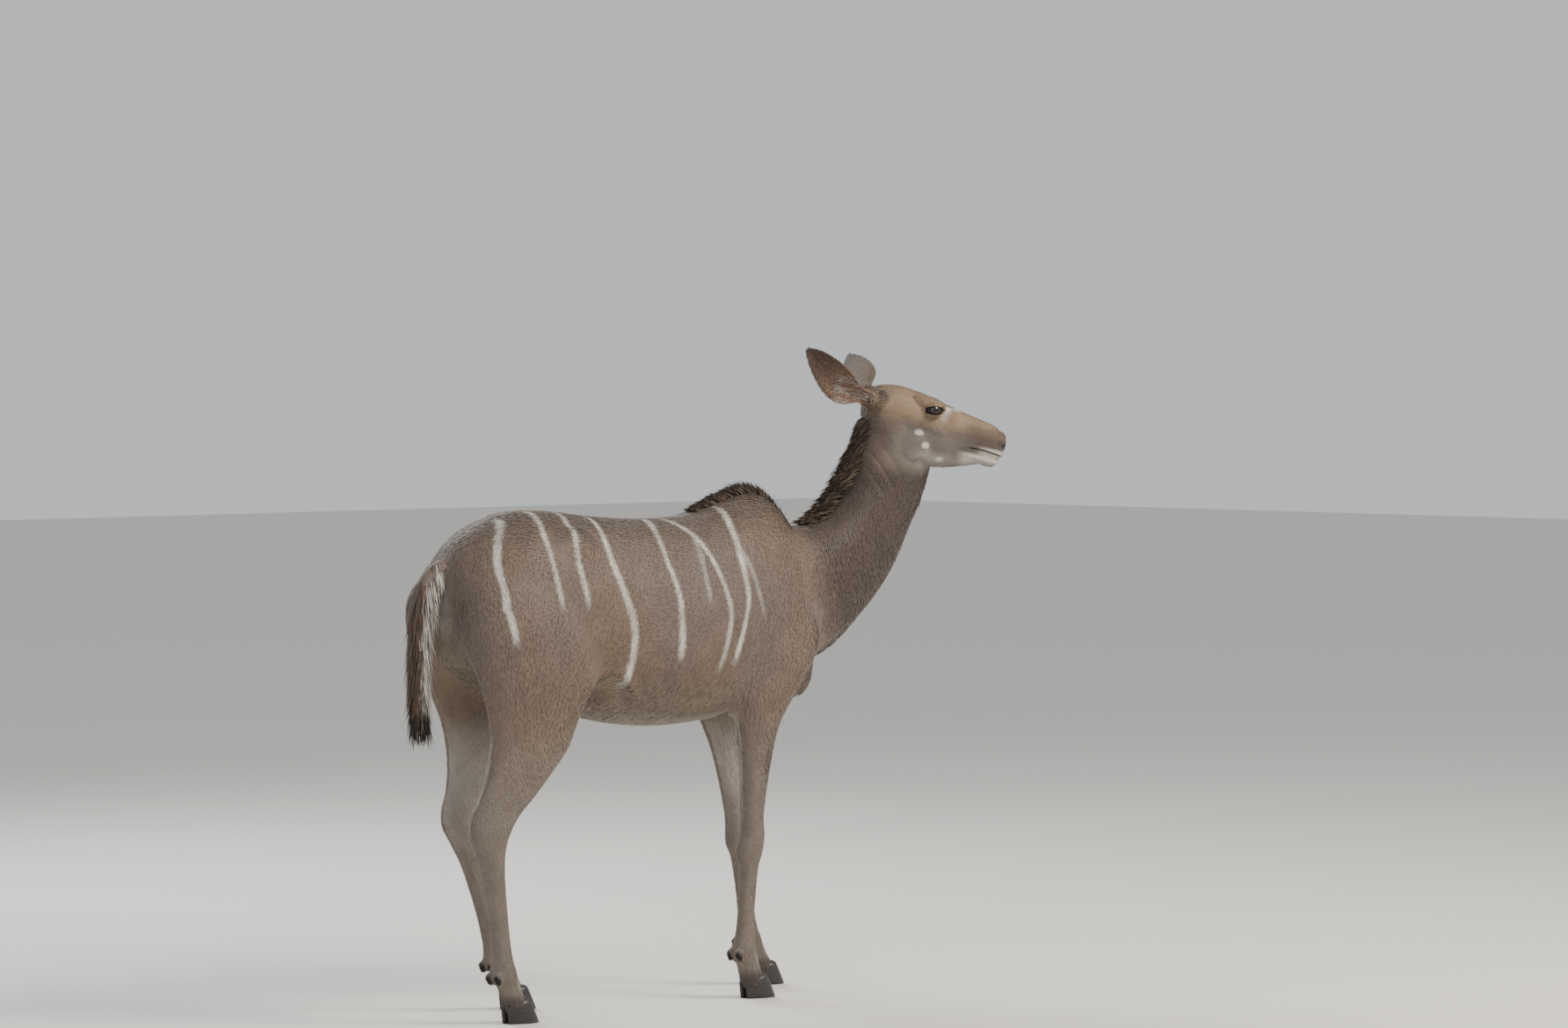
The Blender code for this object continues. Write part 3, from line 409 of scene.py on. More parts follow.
def settle(obj):
    """Turns an object's modifiers into plain mesh."""
    graph = bpy.context.evaluated_depsgraph_get()
    made = bpy.data.meshes.new_from_object(obj.evaluated_get(graph))
    obj.modifiers.clear()
    obj.data = made
    return obj


def fuse(name, forms, voxel):
    """One closed skin round all the forms, which are then removed."""
    shape = bmesh.new()
    for form in forms:
        shape.from_mesh(form.data)
        bpy.data.objects.remove(form)
    obj = object_of(name, shape)
    remesh = obj.modifiers.new("skin", "REMESH")
    remesh.mode = "VOXEL"
    remesh.voxel_size = voxel
    return settle(obj)


def points_of(mesh):
    points = np.empty(len(mesh.vertices) * 3)
    mesh.vertices.foreach_get("co", points)
    return points.reshape(-1, 3)


def normals_of(mesh):
    normals = np.empty(len(mesh.vertices) * 3)
    mesh.vertices.foreach_get("normal", normals)
    return normals.reshape(-1, 3)


def relax(mesh, rounds, weight=None, keep=0.0):
    """Smooths a mesh by moving each point towards its neighbours' mean. keep undoes the shrinking."""
    points = points_of(mesh)
    count = len(points)
    ends = np.empty(len(mesh.edges) * 2, int)
    mesh.edges.foreach_get("vertices", ends)
    a, b = ends.reshape(-1, 2).T
    degree = np.bincount(a, minlength=count) + np.bincount(b, minlength=count)
    share = np.full(count, 0.5) if weight is None else 0.5 * weight
    for sign in (1.0, -keep) * rounds if keep else (1.0,) * rounds:
        near = [np.bincount(a, points[b, k], count) + np.bincount(b, points[a, k], count) for k in range(3)]
        points = points + sign * share[:, None] * (np.stack(near, axis=1) / degree[:, None] - points)
    mesh.vertices.foreach_set("co", points.ravel())
    mesh.update()


def in_head(points):
    """Points of the cow's frame in the head's own frame."""
    back = np.array(HEAD.inverted())
    return points @ back[:3, :3].T + back[:3, 3]


def trim(shape, point, normal):
    """Removes what lies beyond a plane and leaves the cut open."""
    geom = [*shape.verts, *shape.edges, *shape.faces]
    bmesh.ops.bisect_plane(shape, geom=geom, plane_co=point, plane_no=normal, dist=1e-6, clear_outer=True)


body_forms = [trunk_form(), neck_form(), tube("tail_root", tail_rings(TAIL[:4]))] + muscles()
for leg in STANCE:
    body_forms.append(leg_form(leg))
    body_forms += [egg(place, (0.012, 0.0095, 0.017), math.radians(25)) for place in dewclaw_places(leg)]
body = fuse("body", body_forms, BODY_VOXEL)
height_of = points_of(body.data)[:, 2]
fleshy = step_up(height_of, 0.56, 0.80) * (1 - step_up(height_of, 1.08, 1.17))
relax(body.data, BODY_ROUNDS, 0.04 + 0.96 * fleshy)
relax(body.data, 5, None, 1.02)

inside_neck = neck_form()
inside_neck.data.transform(HEAD.inverted())
head_forms = [skull_form(), inside_neck] + head_masses() + [ear_stalk(name) for name in EARS]
head = fuse("head", head_forms, HEAD_VOXEL)
relax(head.data, HEAD_ROUNDS, None, 0.6)

# The head's skin and the body's are stitched round the neck, just behind the jaw.
JOIN_GAP = 0.004
JOIN_ROUNDS = 40
TEMPLE = (0.030, 0.056, -0.026)
TEMPLE_ROUNDS = 45

skin_shape = bmesh.new()
skin_shape.from_mesh(head.data)
trim(skin_shape, NECK_JOIN[0] - NECK_JOIN[1] * JOIN_GAP, NECK_JOIN[1])
loose = [vert for vert in skin_shape.verts if not vert.link_faces]
bmesh.ops.delete(skin_shape, geom=loose, context="VERTS")
bmesh.ops.transform(skin_shape, matrix=HEAD, verts=skin_shape.verts)
body_shape = bmesh.new()
body_shape.from_mesh(body.data)
join_point = HEAD @ NECK_JOIN[0]
join_way = HEAD.to_3x3() @ NECK_JOIN[1]
trim(body_shape, join_point + join_way * JOIN_GAP, -join_way)
for obj in (head, body):
    bpy.data.objects.remove(obj)


def keep_main(shape):
    """Drops everything but the largest connected surface."""
    left = set(shape.verts)
    pieces = []
    while left:
        seed = left.pop()
        piece = [seed]
        front = [seed]
        while front:
            for edge in front.pop().link_edges:
                for vert in edge.verts:
                    if vert in left:
                        left.remove(vert)
                        piece.append(vert)
                        front.append(vert)
        pieces.append(piece)
    best = max(pieces, key=len)
    scraps = [vert for piece in pieces if piece is not best for vert in piece]
    bmesh.ops.delete(shape, geom=scraps, context="VERTS")


keep_main(skin_shape)
keep_main(body_shape)
body_mesh = bpy.data.meshes.new("body")
body_shape.to_mesh(body_mesh)
body_shape.free()
skin_shape.from_mesh(body_mesh)
rim = [edge for edge in skin_shape.edges if edge.is_boundary]
bmesh.ops.bridge_loops(skin_shape, edges=rim)
bmesh.ops.recalc_face_normals(skin_shape, faces=skin_shape.faces[:])

# Finer faces where the lids, lips and nostrils are: each place in the head's frame, its reach, and how often.
FINE_PLACES = (
    (Vector((0.150, 0.062, -0.030)), 0.034, 2),
    (Vector((0.150, -0.062, -0.030)), 0.034, 2),
    (Vector((0.335, 0.0, -0.090)), 0.052, 1),
    (Vector((0.3475, 0.0225, -0.0755)), 0.017, 1),
    (Vector((0.3475, -0.0225, -0.0755)), 0.017, 1),
)
for place, reach, times in FINE_PLACES:
    for _ in range(times):
        centre = HEAD @ place
        edges = [e for e in skin_shape.edges if (e.verts[0].co - centre).length < reach]
        bmesh.ops.subdivide_edges(skin_shape, edges=edges, cuts=1, use_grid_fill=True)
skin = object_of("hide", skin_shape)
skin.data.update()

near_join = np.abs((points_of(skin.data) - np.array(join_point)) @ np.array(join_way))
local = np.linalg.norm(points_of(skin.data) - np.array(join_point), axis=1) < 0.20
relax(skin.data, JOIN_ROUNDS, (1 - step_up(near_join, 0.008, 0.024)) * local)
head_places = in_head(points_of(skin.data))
relax(skin.data, 3, step_up(head_places[:, 0], 0.10, 0.13))
temple = np.stack([head_places[:, 0], np.abs(head_places[:, 1]), head_places[:, 2]], axis=1)
temple_gap = np.linalg.norm(temple - np.array(TEMPLE), axis=1)
relax(skin.data, TEMPLE_ROUNDS, 1 - step_up(temple_gap, 0.012, 0.034))

COAT_DEEP = 0.0030
LEG_SHORTER = 0.0014
FACE_DEEP = 0.0013


def coat_depth(points):
    """How deep the coat is: short on the face and lower legs, and the same depth over the rest of her."""
    h = in_head(points)
    on_head = step_up(h[:, 0], -0.02, 0.05) * step_up(points[:, 2], 1.20, 1.26)
    low_leg = 1 - step_up(points[:, 2], 0.40, 0.70)
    deep = COAT_DEEP - LEG_SHORTER * low_leg
    return deep * (1 - on_head) + FACE_DEEP * on_head


def move_points(mesh, points):
    mesh.vertices.foreach_set("co", points.ravel())
    mesh.update()


points = points_of(skin.data)
move_points(skin.data, points - normals_of(skin.data) * coat_depth(points)[:, None])

# Lids, nostrils and the line of the mouth, pressed into the skin.
LID_LENGTH = 0.0205
LID_RISE = 0.0108
LID_FALL = 0.0078
LID_THICK = 0.0016
LIP_FRONT = (0.357, -0.1060)
LIP_CORNER = (0.262, -0.1000)
NOSTRIL = Vector((0.3490, 0.0215, -0.0750))

head_matrix = np.array(HEAD)


def eye_frame(side):
    """The eye's centre, the way it looks, and the long and short ways of its opening, in the head's frame."""
    look = Vector((EYE_AXIS.x, side * EYE_AXIS.y, EYE_AXIS.z))
    long_way = Matrix.Rotation(math.radians(-10), 3, "Y") @ Vector((1, 0, 0))
    long_way = (long_way - long_way.dot(look) * look).normalized()
    up = long_way.cross(look) * -side
    return Vector((EYE_PLACE.x, side * EYE_PLACE.y, EYE_PLACE.z)), look, long_way, up


def lid_place(h, side):
    """How far out of the lids' opening points of the head's frame lie, and their place on the eye."""
    centre, look, long_way, up = (np.array(v) for v in eye_frame(side))
    q = h - centre
    a, u, out = q @ long_way, q @ up, q @ look
    high = np.where(u > 0, LID_RISE, LID_FALL)
    level = np.abs(a / LID_LENGTH) ** 1.7 + (u / high) ** 2
    return level, a, u, out


def mouth_height(x):
    """The height of the line between the lips at a place along the head."""
    share = np.clip((LIP_FRONT[0] - x) / (LIP_FRONT[0] - LIP_CORNER[0]), 0, 1)
    return LIP_FRONT[1] + (LIP_CORNER[1] - LIP_FRONT[1]) * share + 0.0030 * np.sin(np.pi * share)


h = in_head(points_of(skin.data))
n = normals_of(skin.data) @ head_matrix[:3, :3]
for side in (-1, 1):
    level, a, u, out = lid_place(h, side)
    _, look, _, _ = eye_frame(side)
    look = np.array(look)
    flat = a * a + u * u
    near = (out > 0.002) & (flat < 0.030**2)
    ball = np.sqrt(np.maximum((EYE_RADIUS + LID_THICK) ** 2 - flat, 0.0))
    lid = np.exp(-((level - 1.25) / 0.85) ** 2) * (flat < 0.026**2)
    target = np.maximum(ball, 0.0) + 0.0006
    move = np.where(near, lid * (target - out), 0.0)
    crease = np.abs(level - 3.0) / 0.55
    move -= np.where(near & (u > 0), 0.0016 * np.exp(-crease**2), 0.0)
    fold = np.abs(level - 2.9) / 0.5
    move -= np.where(near & (u < 0), 0.0008 * np.exp(-fold**2), 0.0)
    sunk = np.where(near & (level < 1.0), EYE_RADIUS * 0.60 - out, 0.0)
    move = np.where(near & (level < 1.0), sunk * step_up(-level, -1.0, -0.86), move)
    h = h + look * move[:, None]

lips = (h[:, 0] > 0.250) & (h[:, 2] < -0.085) & (h[:, 2] > -0.125)
off_line = h[:, 2] - mouth_height(h[:, 0])
along_lip = step_up(h[:, 0], 0.256, 0.275)
press = 0.0034 * np.exp(-((off_line / 0.0016) ** 2)) - 0.0010 * np.exp(-(((off_line - 0.0040) / 0.0028) ** 2))
h = h - n * np.where(lips, press * along_lip, 0.0)[:, None]


def nostril_place(h, side):
    """For points in the head's frame: how far out of a nostril they lie, their depth, and the way into it."""
    way = np.array(Vector((0.72, side * 0.66, 0.20)).normalized())
    slot_way = np.array(Vector((-0.45, side * 0.20, 0.87)).normalized())
    slot_way = slot_way - way * (slot_way @ way)
    slot_way = slot_way / np.linalg.norm(slot_way)
    cross_way = np.cross(way, slot_way)
    q = h - np.array((NOSTRIL.x, side * NOSTRIL.y, NOSTRIL.z))
    s, c = q @ slot_way, q @ cross_way
    bend = c - 44 * side * (s + 0.002) ** 2
    return (s / 0.0115) ** 2 + (bend / 0.0046) ** 2, q @ way, way


for side in (-1, 1):
    level, deep, way = nostril_place(h, side)
    near = (np.abs(deep) < 0.014) & (h[:, 1] * side > 0) & (level < 4)
    hollow = 0.0100 * np.sqrt(np.clip(1 - level, 0, 1)) - 0.0014 * np.exp(-(((level - 1.6) / 0.5) ** 2))
    h = h - way * np.where(near, hollow, 0.0)[:, None]
move_points(skin.data, h @ head_matrix[:3, :3].T + head_matrix[:3, 3])

# The fold of the flank bridges thigh and belly in an arch, and the turned neck creases behind the jaw.
FLANK_FOLD = (-0.245, 0.792)
FOLD_RIDGE = 0.0060
FOLD_HOLLOW = 0.0150
NECK_CREASE = 0.0016

points = points_of(skin.data)
normals = normals_of(skin.data)
x, y, z = points.T
arch = FLANK_FOLD[1] - 8.0 * (x - FLANK_FOLD[0]) ** 2
window = np.exp(-(((x - FLANK_FOLD[0]) / 0.055) ** 2)) * step_up(np.abs(y), 0.075, 0.120)
ridge = FOLD_RIDGE * np.exp(-(((z - arch) / 0.016) ** 2))
ridge -= FOLD_HOLLOW * np.exp(-(((z - arch + 0.040) / 0.026) ** 2))
points = points + normals * (ridge * window)[:, None]
along_neck = (points - np.array(join_point)) @ np.array(join_way)
inner = step_up(-in_head(points)[:, 1], 0.010, 0.045) * np.exp(-(((along_neck - 0.050) / 0.040) ** 2))
creases = -np.exp(-((((along_neck + 0.006) % 0.030 - 0.015) / 0.0045) ** 2))
near_neck = np.linalg.norm(points - np.array(join_point), axis=1) < 0.20
points = points + normals * (NECK_CREASE * creases * inner * near_neck)[:, None]
move_points(skin.data, points)

# The tail's dock goes on under its hair, and the two ears are shells of the same hide.


def add_ears(shape):
    """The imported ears, smoothed and thinned a little, with their roots sunk in the stalks."""
    for name in EARS:
        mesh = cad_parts[name].data.copy()
        mesh.transform(Matrix.Translation(-STAND))
        shell = bpy.data.objects.new(name + "_hide", mesh)
        bpy.context.scene.collection.objects.link(shell)
        weld = bmesh.new()
        weld.from_mesh(mesh)
        bmesh.ops.remove_doubles(weld, verts=weld.verts, dist=1e-5)
        weld.to_mesh(mesh)
        weld.free()
        subdivision = shell.modifiers.new("smooth", "SUBSURF")
        subdivision.levels = 2
        subdivision.render_levels = 2
        settle(shell)
        shape.from_mesh(shell.data)
        bpy.data.objects.remove(shell)


whole = bmesh.new()
whole.from_mesh(skin.data)
hide_points = len(whole.verts)
add_ears(whole)
ear_points = len(whole.verts)
dock = tube("dock", tail_rings(TAIL[1:], 0.92))
whole.from_mesh(dock.data)
bpy.data.objects.remove(dock)
bmesh.ops.triangulate(whole, faces=whole.faces[:])
whole.to_mesh(skin.data)
whole.free()
skin.data.update()

# The hide's markings and finish.
# Short grey-brown hair with thin white stripes, darker on the back, darker still on the neck partly as
# painted shade, tawny and pale on the legs.
# One function gives the colour at any place on her, so hide and coat carry the same markings.

FAWN = "695b52"
FAWN_DARK = "463b34"
FAWN_WARM = "726050"
NECK_BROWN_AND_SHADE = "433832"
FACE_TAN = "8e7861"
FACE_DARK = "4a3c35"
CHEEK_GREY = "777067"
WHITE_HAIR = "cfc9bf"
BELLY = "7f7563"
LEG_TAWNY = "766a60"
LEG_DARK = "3c332f"
EAR_BACK = "625342"
EAR_INSIDE = "866c5a"
SKIN_BLACK = "171413"
NOSE_PAD = "3a3330"


def linear(hex_colour):
    """An sRGB hex value as linear light."""
    values = [int(hex_colour[i : i + 2], 16) / 255 for i in (0, 2, 4)]
    return np.array([v / 12.92 if v <= 0.04045 else ((v + 0.055) / 1.055) ** 2.4 for v in values])


def plain(hex_colour, count):
    """The same colour for each of a number of places."""
    return np.tile(linear(hex_colour), (count, 1))


def ripple(points, size, seed):
    """Soft random variation from -1 to 1, with patches of about a given size."""
    chance = np.random.default_rng(seed)
    total = np.zeros(len(points))
    for _ in range(9):
        way = chance.normal(size=3)
        way *= 2 * math.pi / (size * chance.uniform(0.8, 1.9)) / np.linalg.norm(way)
        total += np.sin(points @ way + chance.uniform(0, 2 * math.pi))
    return np.clip(total / 3.2, -1, 1)


# Each body stripe: its places along the body from top to bottom, as (x, height).
STRIPES = (
    ((-0.500, 1.150), (-0.556, 1.080), (-0.588, 0.963), (-0.584, 0.941), (-0.573, 0.875)),
    ((-0.405, 1.170), (-0.427, 1.116), (-0.434, 1.056), (-0.424, 0.955)),
    ((-0.312, 1.168), (-0.350, 1.112), (-0.356, 1.054), (-0.340, 0.955)),
    ((-0.222, 1.160), (-0.246, 1.091), (-0.245, 1.031), (-0.215, 0.930), (-0.210, 0.870), (-0.214, 0.765)),
    ((-0.028, 1.148), (-0.060, 1.110), (-0.077, 1.047), (-0.069, 0.966), (-0.077, 0.825)),
    ((0.050, 1.105), (0.032, 1.044), (0.022, 0.950)),
    ((0.026, 1.148), (0.060, 1.084), (0.086, 0.945), (0.075, 0.880), (0.046, 0.798)),
    ((0.196, 1.166), (0.176, 1.120), (0.159, 1.041), (0.153, 0.959), (0.131, 0.898), (0.100, 0.810)),
    ((0.168, 1.072), (0.190, 0.999), (0.212, 0.905)),
)
FAINT_STRIPES = (5, 8)
FAINTNESS = 0.45
STRIPE_WIDTH = 0.0112


def stripe_mask(points):
    """White stripes down both sides, thin and a little broken."""
    total = np.zeros(len(points))
    for side in (-1, 1):
        for i, places in enumerate(STRIPES):
            curve = between(places, 8)
            order = np.argsort(curve[:, 1])
            z, x = curve[order, 1], curve[order, 0]
            shift = 0.0 if side < 0 else 0.012 * math.sin(2.3 * i + 1)
            centre = np.interp(points[:, 2], z, x) + shift + 0.0018 * ripple(points, 0.13, 40 + i)
            width = STRIPE_WIDTH * (0.95 + 0.22 * ripple(points, 0.15, 60 + i))
            line = 1 - step_up(np.abs(points[:, 0] - centre), width * 0.35, width)
            reach = step_up(points[:, 2], z[0] - 0.02, z[0] + 0.03)
            reach *= 1 - step_up(points[:, 2], z[-1] - 0.01, z[-1] + 0.02)
            faint = FAINTNESS if i in FAINT_STRIPES else 1.0
            total = np.maximum(total, line * reach * faint * (points[:, 1] * side > 0.02))
    return total * (0.80 + 0.20 * ripple(points, 0.05, 90))


def spot(points, centre, radius):
    return 1 - step_up(np.linalg.norm((points - np.array(centre)) / np.array(radius), axis=1), 0.55, 1.0)


def face_masks(h):
    """White and dark marks of the face, in the head's frame, on both sides alike; the dark patch before each
    ear is partly painted shade.
    """
    m = np.abs(h[:, 1])
    g = np.stack([h[:, 0], m, h[:, 2]], axis=1)
    white = spot(g, (0.127, 0.051, -0.090), (0.014, 0.03, 0.009))
    white = np.maximum(white, spot(g, (0.150, 0.046, -0.117), (0.013, 0.03, 0.010)) * 0.95)
    white = np.maximum(white, spot(g, (0.197, 0.032, -0.143), (0.014, 0.03, 0.010)))
    slant = np.abs(h[:, 0] - (0.238 - 1.30 * m)) / 0.0095
    slant_reach = step_up(m, 0.004, 0.010) * (1 - step_up(m, 0.040, 0.047))
    white = np.maximum(white, np.exp(-slant**2) * slant_reach * (h[:, 2] > -0.05) * 0.9)
    upper_lip = step_up(h[:, 0], 0.275, 0.315) * (1 - step_up(h[:, 2], -0.097, -0.088))
    chin = step_up(h[:, 0], 0.225, 0.270) * (1 - step_up(h[:, 2], -0.119, -0.107))
    white = np.maximum(white, np.maximum(upper_lip * 0.85, chin))
    jaw = (1 - step_up(h[:, 2], -0.150, -0.118)) * step_up(h[:, 0], 0.09, 0.17) * 0.42
    white = np.maximum(white, jaw)
    dark = step_up(h[:, 0], 0.215, 0.27) * (1 - step_up(h[:, 2], -0.052, -0.036)) * (1 - upper_lip) * 0.55
    # A dark patch before each ear's root: partly a dark marking and partly painted shade at the ear's base.
    dark = np.maximum(dark, spot(g, (0.022, 0.058, -0.020), (0.026, 0.03, 0.024)) * 0.75)
    return np.clip(white, 0, 1), np.clip(dark, 0, 1)


def mix(base, colour, amount):
    return base + (linear(colour) - base) * np.clip(amount, 0, 1)[:, None]


def nose_mask(h):
    """The bare pad between the nostrils, and its edges round them."""
    pad_level = (h[:, 1] / 0.0225) ** 2 + ((h[:, 2] + 0.0790) / 0.0150) ** 2
    pad = (1 - step_up(pad_level, 0.75, 1.15)) * (h[:, 0] > 0.330)
    groove = (1 - step_up(np.abs(h[:, 1]), 0.0012, 0.0030)) * (h[:, 0] > 0.345)
    groove *= step_up(h[:, 2], -0.108, -0.102)
    pad = np.maximum(pad, groove * (h[:, 2] < -0.085))
    for side in (-1, 1):
        q = h - np.array((NOSTRIL.x - 0.003, side * NOSTRIL.y, NOSTRIL.z))
        pad = np.maximum(pad, 1 - step_up(np.linalg.norm(q, axis=1), 0.0095, 0.0135))
    return pad


def nostril_mask(h):
    """The dark insides of the nostrils."""
    inside = np.zeros(len(h))
    for side in (-1, 1):
        level = nostril_place(h, side)[0]
        inside = np.maximum(inside, 1 - step_up(level, 0.55, 1.05))
    return inside * (h[:, 0] > 0.325)


def rim_mask(h):
    """The bare black rims of the eyes with their drawn-out corners, and the line of the mouth."""
    rim = np.zeros(len(h))
    for side in (-1, 1):
        level, a, u, out = lid_place(h, side)
        edge = 1 - step_up(level, 1.30, 1.75)
        narrow = 0.0052 * np.clip(1.15 - np.abs(a) / 0.034, 0.01, 1)
        corner = 1 - step_up(np.abs(u + 0.0015) / narrow, 0.6, 1.2)
        rim = np.maximum(rim, np.maximum(edge, corner * (np.abs(a) < 0.037)) * (out > 0.002))
    lips = (h[:, 0] > 0.258) & (np.abs(h[:, 2] - mouth_height(h[:, 0])) < 0.010)
    line = np.exp(-(((h[:, 2] - mouth_height(h[:, 0])) / 0.0022) ** 2)) * step_up(h[:, 0], 0.258, 0.270)
    return np.maximum(rim, np.where(lips, line, 0.0))


def leg_at(name, height):
    """The front and rear of a leg at a height, before its shift, and how far its middle lies from hers."""
    rows = np.array(leg_rows(name)[::-1])
    return [np.interp(height, rows[:, 0], rows[:, k]) for k in (1, 2, 4)]


def coat_colour(points, normals):
    """The hair's colour at places on her body, in linear light."""
    x, y, z = points.T
    h = in_head(points)
    on_head = step_up(h[:, 0], -0.04, 0.07) * step_up(z, 1.22, 1.30)
    on_neck = step_up(x + 0.45 * (z - 1.0), 0.42, 0.56) * (1 - on_head) * step_up(z, 0.80, 0.90)
    soft = ripple(points, 0.30, 1)
    colour = plain(FAWN, len(points))
    colour = mix(colour, FAWN_WARM, 0.5 + 0.5 * soft)
    colour = mix(colour, FAWN_DARK, 0.55 * step_up(z, 1.06, 1.17) * (1 - on_head))
    # The neck is painted darker brown: partly its own colour and partly painted shade.
    colour = mix(colour, NECK_BROWN_AND_SHADE, 0.85 * on_neck)
    colour = mix(colour, FAWN_DARK, 0.5 * on_neck * step_up(ripple(points, 0.14, 7), 0.0, 0.8))
    under = step_up(-normals[:, 2], 0.25, 0.85) * step_up(z, 0.60, 0.66) * (1 - on_head) * (1 - on_neck)
    colour = mix(colour, BELLY, 0.55 * under)
    low = 1 - step_up(z, 0.50, 0.74)
    colour = mix(colour, LEG_TAWNY, low)
    for name in STANCE:
        side = leg_side(name)
        shift = leg_shift(name, z)
        front, rear, off = leg_at(name, z)
        share = (x - (rear + shift)) / (front - rear)
        own = (y * side > 0) & ((x > 0) == name.startswith("fore"))
        inside = own * (y * side < off) * step_up(z, 0.34, 0.56) * (1 - step_up(z, 0.60, 0.72))
        colour = mix(colour, WHITE_HAIR, 0.30 * inside)
        garter = own * np.exp(-(((z - 0.560) / 0.055) ** 2)) * step_up(share, 0.35, 0.75)
        colour = mix(colour, LEG_DARK, 0.65 * garter * name.startswith("fore"))
        pastern = own * np.exp(-(((z - 0.088) / 0.016) ** 2)) * step_up(share, 0.55, 0.9)
        colour = mix(colour, WHITE_HAIR, 0.55 * pastern)
        colour = mix(colour, LEG_DARK, 0.75 * own * (1 - step_up(z, 0.050, 0.075)))
        for place in dewclaw_places(name):
            claw = spot(points, place + Vector((-0.004, 0, -0.006)), (0.015, 0.012, 0.019))
            colour = mix(colour, SKIN_BLACK, claw)
    rump = spot(points, (-0.668, 0.0, 0.93), (0.06, 0.055, 0.13))
    colour = mix(colour, WHITE_HAIR, 0.22 * rump)
    colour = mix(colour, WHITE_HAIR, 0.92 * stripe_mask(points) * (1 - on_head))
    spine = (1 - step_up(np.abs(y), 0.004, 0.011)) * step_up(z, 1.10, 1.13) * (x < 0.16)
    colour = mix(colour, WHITE_HAIR, 0.20 * spine)
    brisket = spot(points, (0.500, 0.0, 0.800), (0.10, 0.09, 0.11))
    colour = mix(colour, BELLY, 0.70 * brisket)
    face = mix(plain(FACE_TAN, len(points)), FAWN, step_up(-h[:, 2], 0.045, 0.085))
    cheek = step_up(-h[:, 2], 0.060, 0.100) * step_up(h[:, 0], 0.03, 0.11)
    face = mix(face, CHEEK_GREY, 0.75 * cheek)
    white, dark = face_masks(h)
    face = mix(face, FACE_DARK, dark)
    face = mix(face, WHITE_HAIR, white)
    colour = colour + (face - colour) * on_head[:, None]
    colour = mix(colour, NOSE_PAD, nose_mask(h) * on_head)
    colour = mix(colour, SKIN_BLACK, np.maximum(rim_mask(h), nostril_mask(h)) * on_head)
    return colour * (1 + 0.07 * ripple(points, 0.035, 3) + 0.05 * ripple(points, 0.012, 4))[:, None]


def ear_colour(points, normals):
    """The ears: grey-brown outside, paler and pink inside, dark towards the tip's edge."""
    h = in_head(points)
    colour = np.zeros((len(points), 3))
    for name in EARS:
        root, axis, front = ear_frame(name)
        q = h - np.array(root)
        share = np.clip(q @ np.array(axis) / 0.25, 0, 1)
        facing = (normals @ head_matrix[:3, :3]) @ np.array(front)
        own = (h[:, 1] > 0) == (name == "ear_left")
        here = mix(plain(EAR_BACK, len(points)), FAWN_DARK, step_up(share, 0.6, 1.0))
        inner = mix(plain(EAR_INSIDE, len(points)), FACE_DARK, step_up(share, 0.35, 0.95) * 0.8)
        here = here + (inner - here) * step_up(facing, 0.05, 0.35)[:, None]
        colour = np.where(own[:, None], here, colour)
    return colour


def ear_streak(points, normals):
    """The pale long hair inside the ears."""
    return mix(ear_colour(points, normals), WHITE_HAIR, np.full(len(points), 0.60))


def set_colour(mesh, colour):
    layer = mesh.color_attributes.new("hair colour", "FLOAT_COLOR", "POINT")
    layer.data.foreach_set("color", np.column_stack([colour, np.ones(len(colour))]).ravel())


points = points_of(skin.data)
normals = normals_of(skin.data)
hide_colour = coat_colour(points, normals)
hide_colour[hide_points:ear_points] = ear_colour(points, normals)[hide_points:ear_points]
set_colour(skin.data, hide_colour)
skin.data.shade_smooth()


def node(tree, kind, settings=None, **links):
    """Adds a shader node, with its settings and what goes into its sockets, by name or as i and a number."""
    made = tree.nodes.new(kind)
    for key, value in (settings or {}).items():
        setattr(made, key, value)
    for key, value in links.items():
        numbered = key[0] == "i" and key[1:].isdigit()
        socket = made.inputs[int(key[1:]) if numbered else key.replace("_", " ")]
        if isinstance(value, bpy.types.NodeSocket):
            tree.links.new(value, socket)
        else:
            socket.default_value = value
    return made


def new_material(name):
    material = bpy.data.materials.new(name)
    material.use_nodes = True
    return material, material.node_tree, material.node_tree.nodes["Principled BSDF"]


# Raw hide under short hair is matt, and its grain keeps the gaps between the tufts from looking bare. Single
# hairs are 0.1 mm across, too fine to show, so the grain is drawn coarser.
HAIR_GRAIN = 1 / 420  # metres, so 2.4 mm

hide_material, tree, shader = new_material("short hair on hide")
stain = node(tree, "ShaderNodeAttribute", {"attribute_name": "hair colour"})
place = node(tree, "ShaderNodeTexCoord")
grain = node(
    tree,
    "ShaderNodeTexNoise",
    Vector=place.outputs["Object"],
    Scale=1 / HAIR_GRAIN,
    Detail=3.0,
    Roughness=0.6,
)
shade = node(
    tree,
    "ShaderNodeMapRange",
    Value=grain.outputs["Fac"],
    From_Min=0.3,
    From_Max=0.7,
    To_Min=0.80,
    To_Max=1.14,
)
stained = stain.outputs["Color"]
tinted = node(tree, "ShaderNodeVectorMath", {"operation": "SCALE"}, i0=stained, Scale=shade.outputs["Result"])
tree.links.new(tinted.outputs["Vector"], shader.inputs["Base Color"])
bump = node(tree, "ShaderNodeBump", Height=grain.outputs["Fac"], Strength=0.35, Distance=0.002)
tree.links.new(bump.outputs["Normal"], shader.inputs["Normal"])
shader.inputs["Roughness"].default_value = 0.72
shader.inputs["Specular IOR Level"].default_value = 0.30
skin.data.materials.clear()
skin.data.materials.append(hide_material)
skin.location = STAND
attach(skin, "root")
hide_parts("torso", "neck", "head", "foreleg_left", "foreleg_right", "hindleg_left", "hindleg_right")
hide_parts("ear_left", "ear_right")

